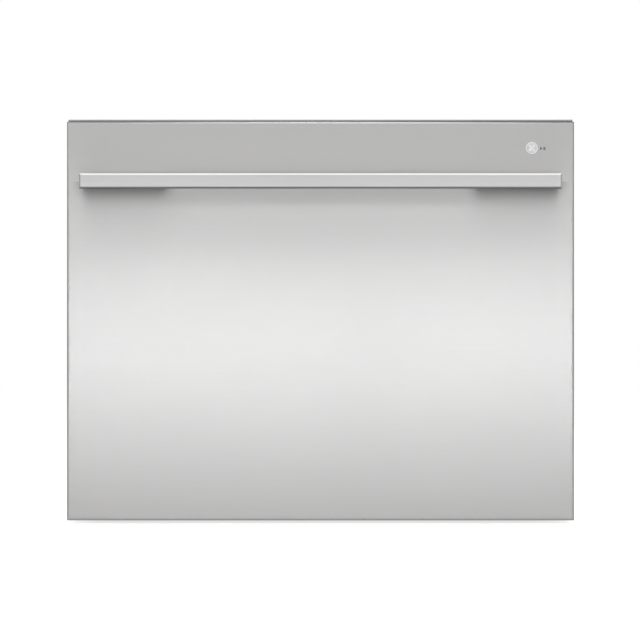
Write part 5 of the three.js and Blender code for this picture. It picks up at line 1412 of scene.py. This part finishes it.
def filter_grip():
    reach = (drain_high.x - drain_low.x) / 2 - FILTER_RIB_INSET
    places = []
    for x, y in circle(FILTER_RIBS, 1.0):
        point = (DRAIN_MIDDLE.x + reach * x, DRAIN_MIDDLE.y + reach * y, drain_high.z - FLANGE_DROP)
        places.append((point, facing((0, 0, 1), (x, y, 0))))
    detail("filter_grip_ribs", "drain_filter", grey_plastic, (bead(*FILTER_RIB, steps=3), places))


tub_ribs()
filter_grip()
print("ribs moulded")

# %% [markdown]
# ## Dispenser, door back and boxes under the tub
# The flap of the dispenser has finger ribs and snaps under a small latch, and its cap has a milled
# rim. The door's moulding carries stiffening beads and is screwed to the front along its edges, and
# the boxes under the tub have screwed covers. All of these are scattered parts, and each set rides on
# the body that it belongs to, so the ribs of the flap swing with the flap.

# %% Dispenser details
FLAP_THICKNESS = 3.0 * MM
FLAP_RIBS = 4
FLAP_RIB = (56 * MM, 2.0 * MM, 0.9 * MM)
FLAP_RIB_DROP = 8 * MM
FLAP_RIB_STEP = 4 * MM
LATCH = (16 * MM, 5 * MM, 2.4 * MM)
LATCH_LIFT = 4.2 * MM
LATCH_SINK = 0.3 * MM
CAP_RIBS = 40
CAP_RIB = (3.2 * MM, 1.0 * MM, 0.7 * MM)
CAP_RIB_INSET = 2.2 * MM
CAP_GRIP = 5 * MM
CAP_GRIP_SHARE = 0.2
flap_low, flap_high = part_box("dispenser_flap")
cap_low, cap_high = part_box("rinse_aid_cap")


def dispenser_details():
    middle = middle_of("dispenser_flap").x
    heights = [flap_high.z - FLAP_RIB_DROP - i * FLAP_RIB_STEP for i in range(FLAP_RIBS)]
    ribs = [((middle, flap_low.y + FLAP_THICKNESS, z), BACK) for z in heights]
    latch = ((middle, flap_low.y - LATCH_SINK, flap_high.z + LATCH_LIFT), BACK)
    centre, reach = middle_of("rinse_aid_cap"), (cap_high.x - cap_low.x) / 2 - CAP_RIB_INSET
    milled = [
        ((centre.x + reach * x, cap_high.y - CAP_GRIP, centre.z + reach * z), facing((0, 1, 0), (x, 0, z)))
        for x, z in circle(CAP_RIBS, 1.0) if abs(z) > CAP_GRIP_SHARE
    ]
    detail("flap_finger_ribs", "dispenser_flap", grey_plastic, (bead(*FLAP_RIB, steps=3), ribs))
    detail("flap_latch", "dispenser_body", black_plastic, (bead(*LATCH, steps=5), [latch]))
    detail("cap_milled_rim", "rinse_aid_cap", black_plastic, (bead(*CAP_RIB, steps=3), milled))


dispenser_details()

# %% Door back
CARRIER_RIM = 7.2 * MM
SCREW_PROUD = 1.4 * MM
DOOR_MARGIN = 10 * MM
LEVEL_SCREWS = 7
DOOR_BEAD = (480 * MM, 9 * MM, 1.6 * MM)
DOOR_BEAD_HEIGHTS = (28 * MM, 48 * MM, 68 * MM, 432 * MM, 448 * MM)


def door_back():
    low, high = inset_box("door_carrier", DOOR_MARGIN)
    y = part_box("door_carrier")[1].y - CARRIER_RIM
    screws = [((x, y, z), BACK) for x in (low.x, high.x) for z in along(low.z, high.z, UPRIGHT_SCREWS)]
    level = along(low.x, high.x, LEVEL_SCREWS)[1:-1]
    screws += [((x, y, z), BACK) for z in (low.z, high.z) for x in level]
    beads = [((0, y, z), BACK) for z in DOOR_BEAD_HEIGHTS]
    detail("door_back_screws", "door_carrier", runner_steel, (screw_head(EDGE_SCREW, SCREW_PROUD), screws))
    detail("door_back_beads", "door_carrier", grey_plastic, (bead(*DOOR_BEAD), beads))


door_back()

# %% Boxes under the tub
COVER_SCREW = 3.0 * MM
COVER_MARGIN = 9 * MM
COVER_RIBS = 7
COVER_RIB = (84 * MM, 3 * MM, 1.2 * MM)
COVER_RIB_REACH = 36 * MM
PUMP_SCREWS = 6
PUMP_SCREW_REACH = 51 * MM
INLET_RADIUS = 22 * MM
GRILLE_WIRE = 0.9 * MM
GRILLE_SINK = 0.2 * MM
GRILLE_LAP = 3 * MM
GRILLE_RINGS = (0.35, 0.7)
GRILLE_SIDES = 24
GRILLE_SPOKES = ((1, 0), (0, 1), (0.7071, 0.7071), (0.7071, -0.7071))


def box_details():
    low, high = inset_box("controller_box", COVER_MARGIN)
    z, middle = low.z - COVER_MARGIN, middle_of("controller_box")
    screws = [((x, y, z), DOWN) for x in (low.x, high.x) for y in (low.y, high.y)]
    pump, pump_foot = middle_of("pump_housing"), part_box("pump_housing")[0].z
    for x, y in circle(PUMP_SCREWS, PUMP_SCREW_REACH, math.pi / PUMP_SCREWS):
        screws.append(((pump.x + x, pump.y + y, pump_foot), DOWN))
    face = facing((0, 0, -1), (0, 1, 0))
    row = along(middle.x - COVER_RIB_REACH, middle.x + COVER_RIB_REACH, COVER_RIBS)
    ribs = [((x, middle.y, z), face) for x in row]
    detail("cover_screws", "controller_box", runner_steel, (screw_head(COVER_SCREW, SCREW_PROUD), screws))
    detail("cover_ribs", "controller_box", black_plastic, (bead(*COVER_RIB, steps=4), ribs))


def fan_grille():
    """Rings and spokes over the inlet, so that nothing reaches the wheel."""
    centre, level = middle_of("fan_impeller"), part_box("fan_housing")[0].z + GRILLE_SINK
    rings = [
        [(centre.x + x, centre.y + y, level) for x, y in circle(GRILLE_SIDES, INLET_RADIUS * share)]
        for share in GRILLE_RINGS
    ]
    reach = INLET_RADIUS + GRILLE_LAP
    spokes = [
        [(centre.x + end * reach * u, centre.y + end * reach * v, level) for end in (-1, 1)]
        for u, v in GRILLE_SPOKES
    ]
    runs = [ring + ring[:1] for ring in rings] + spokes
    grille = wires(runs, GRILLE_WIRE, black_plastic, bend=0, sides=8)
    ride_with(piece_of("fan_grille", [grille], black_plastic), "fan_housing")


box_details()
fan_grille()

# %% Foot threads
FOOT_STEM = 5.7 * MM
THREAD_PITCH = 2.5 * MM
RIDGE_LENGTH = 0.9 * THREAD_PITCH
THREAD_SINK = 0.05 * MM
THREAD_PROUD = 0.12 * MM
THREAD_START = 15 * MM
THREAD_END = 64 * MM


def foot_thread(name):
    """Turns of thread on the stem of one foot, which come into sight as it is screwed down."""
    middle = middle_of(name)
    count = int((THREAD_END - THREAD_START) / THREAD_PITCH)
    turns = [((middle.x, middle.y, THREAD_START + i * THREAD_PITCH), UP) for i in range(count)]
    ridge = collar(FOOT_STEM - THREAD_SINK, THREAD_SINK + THREAD_PROUD, RIDGE_LENGTH)
    detail(name + "_thread", name, black_plastic, (ridge, turns))


for place in ("front_left", "front_right", "back_left", "back_right"):
    foot_thread(f"foot_{place}")
print("dispenser, door back, boxes and feet detailed")
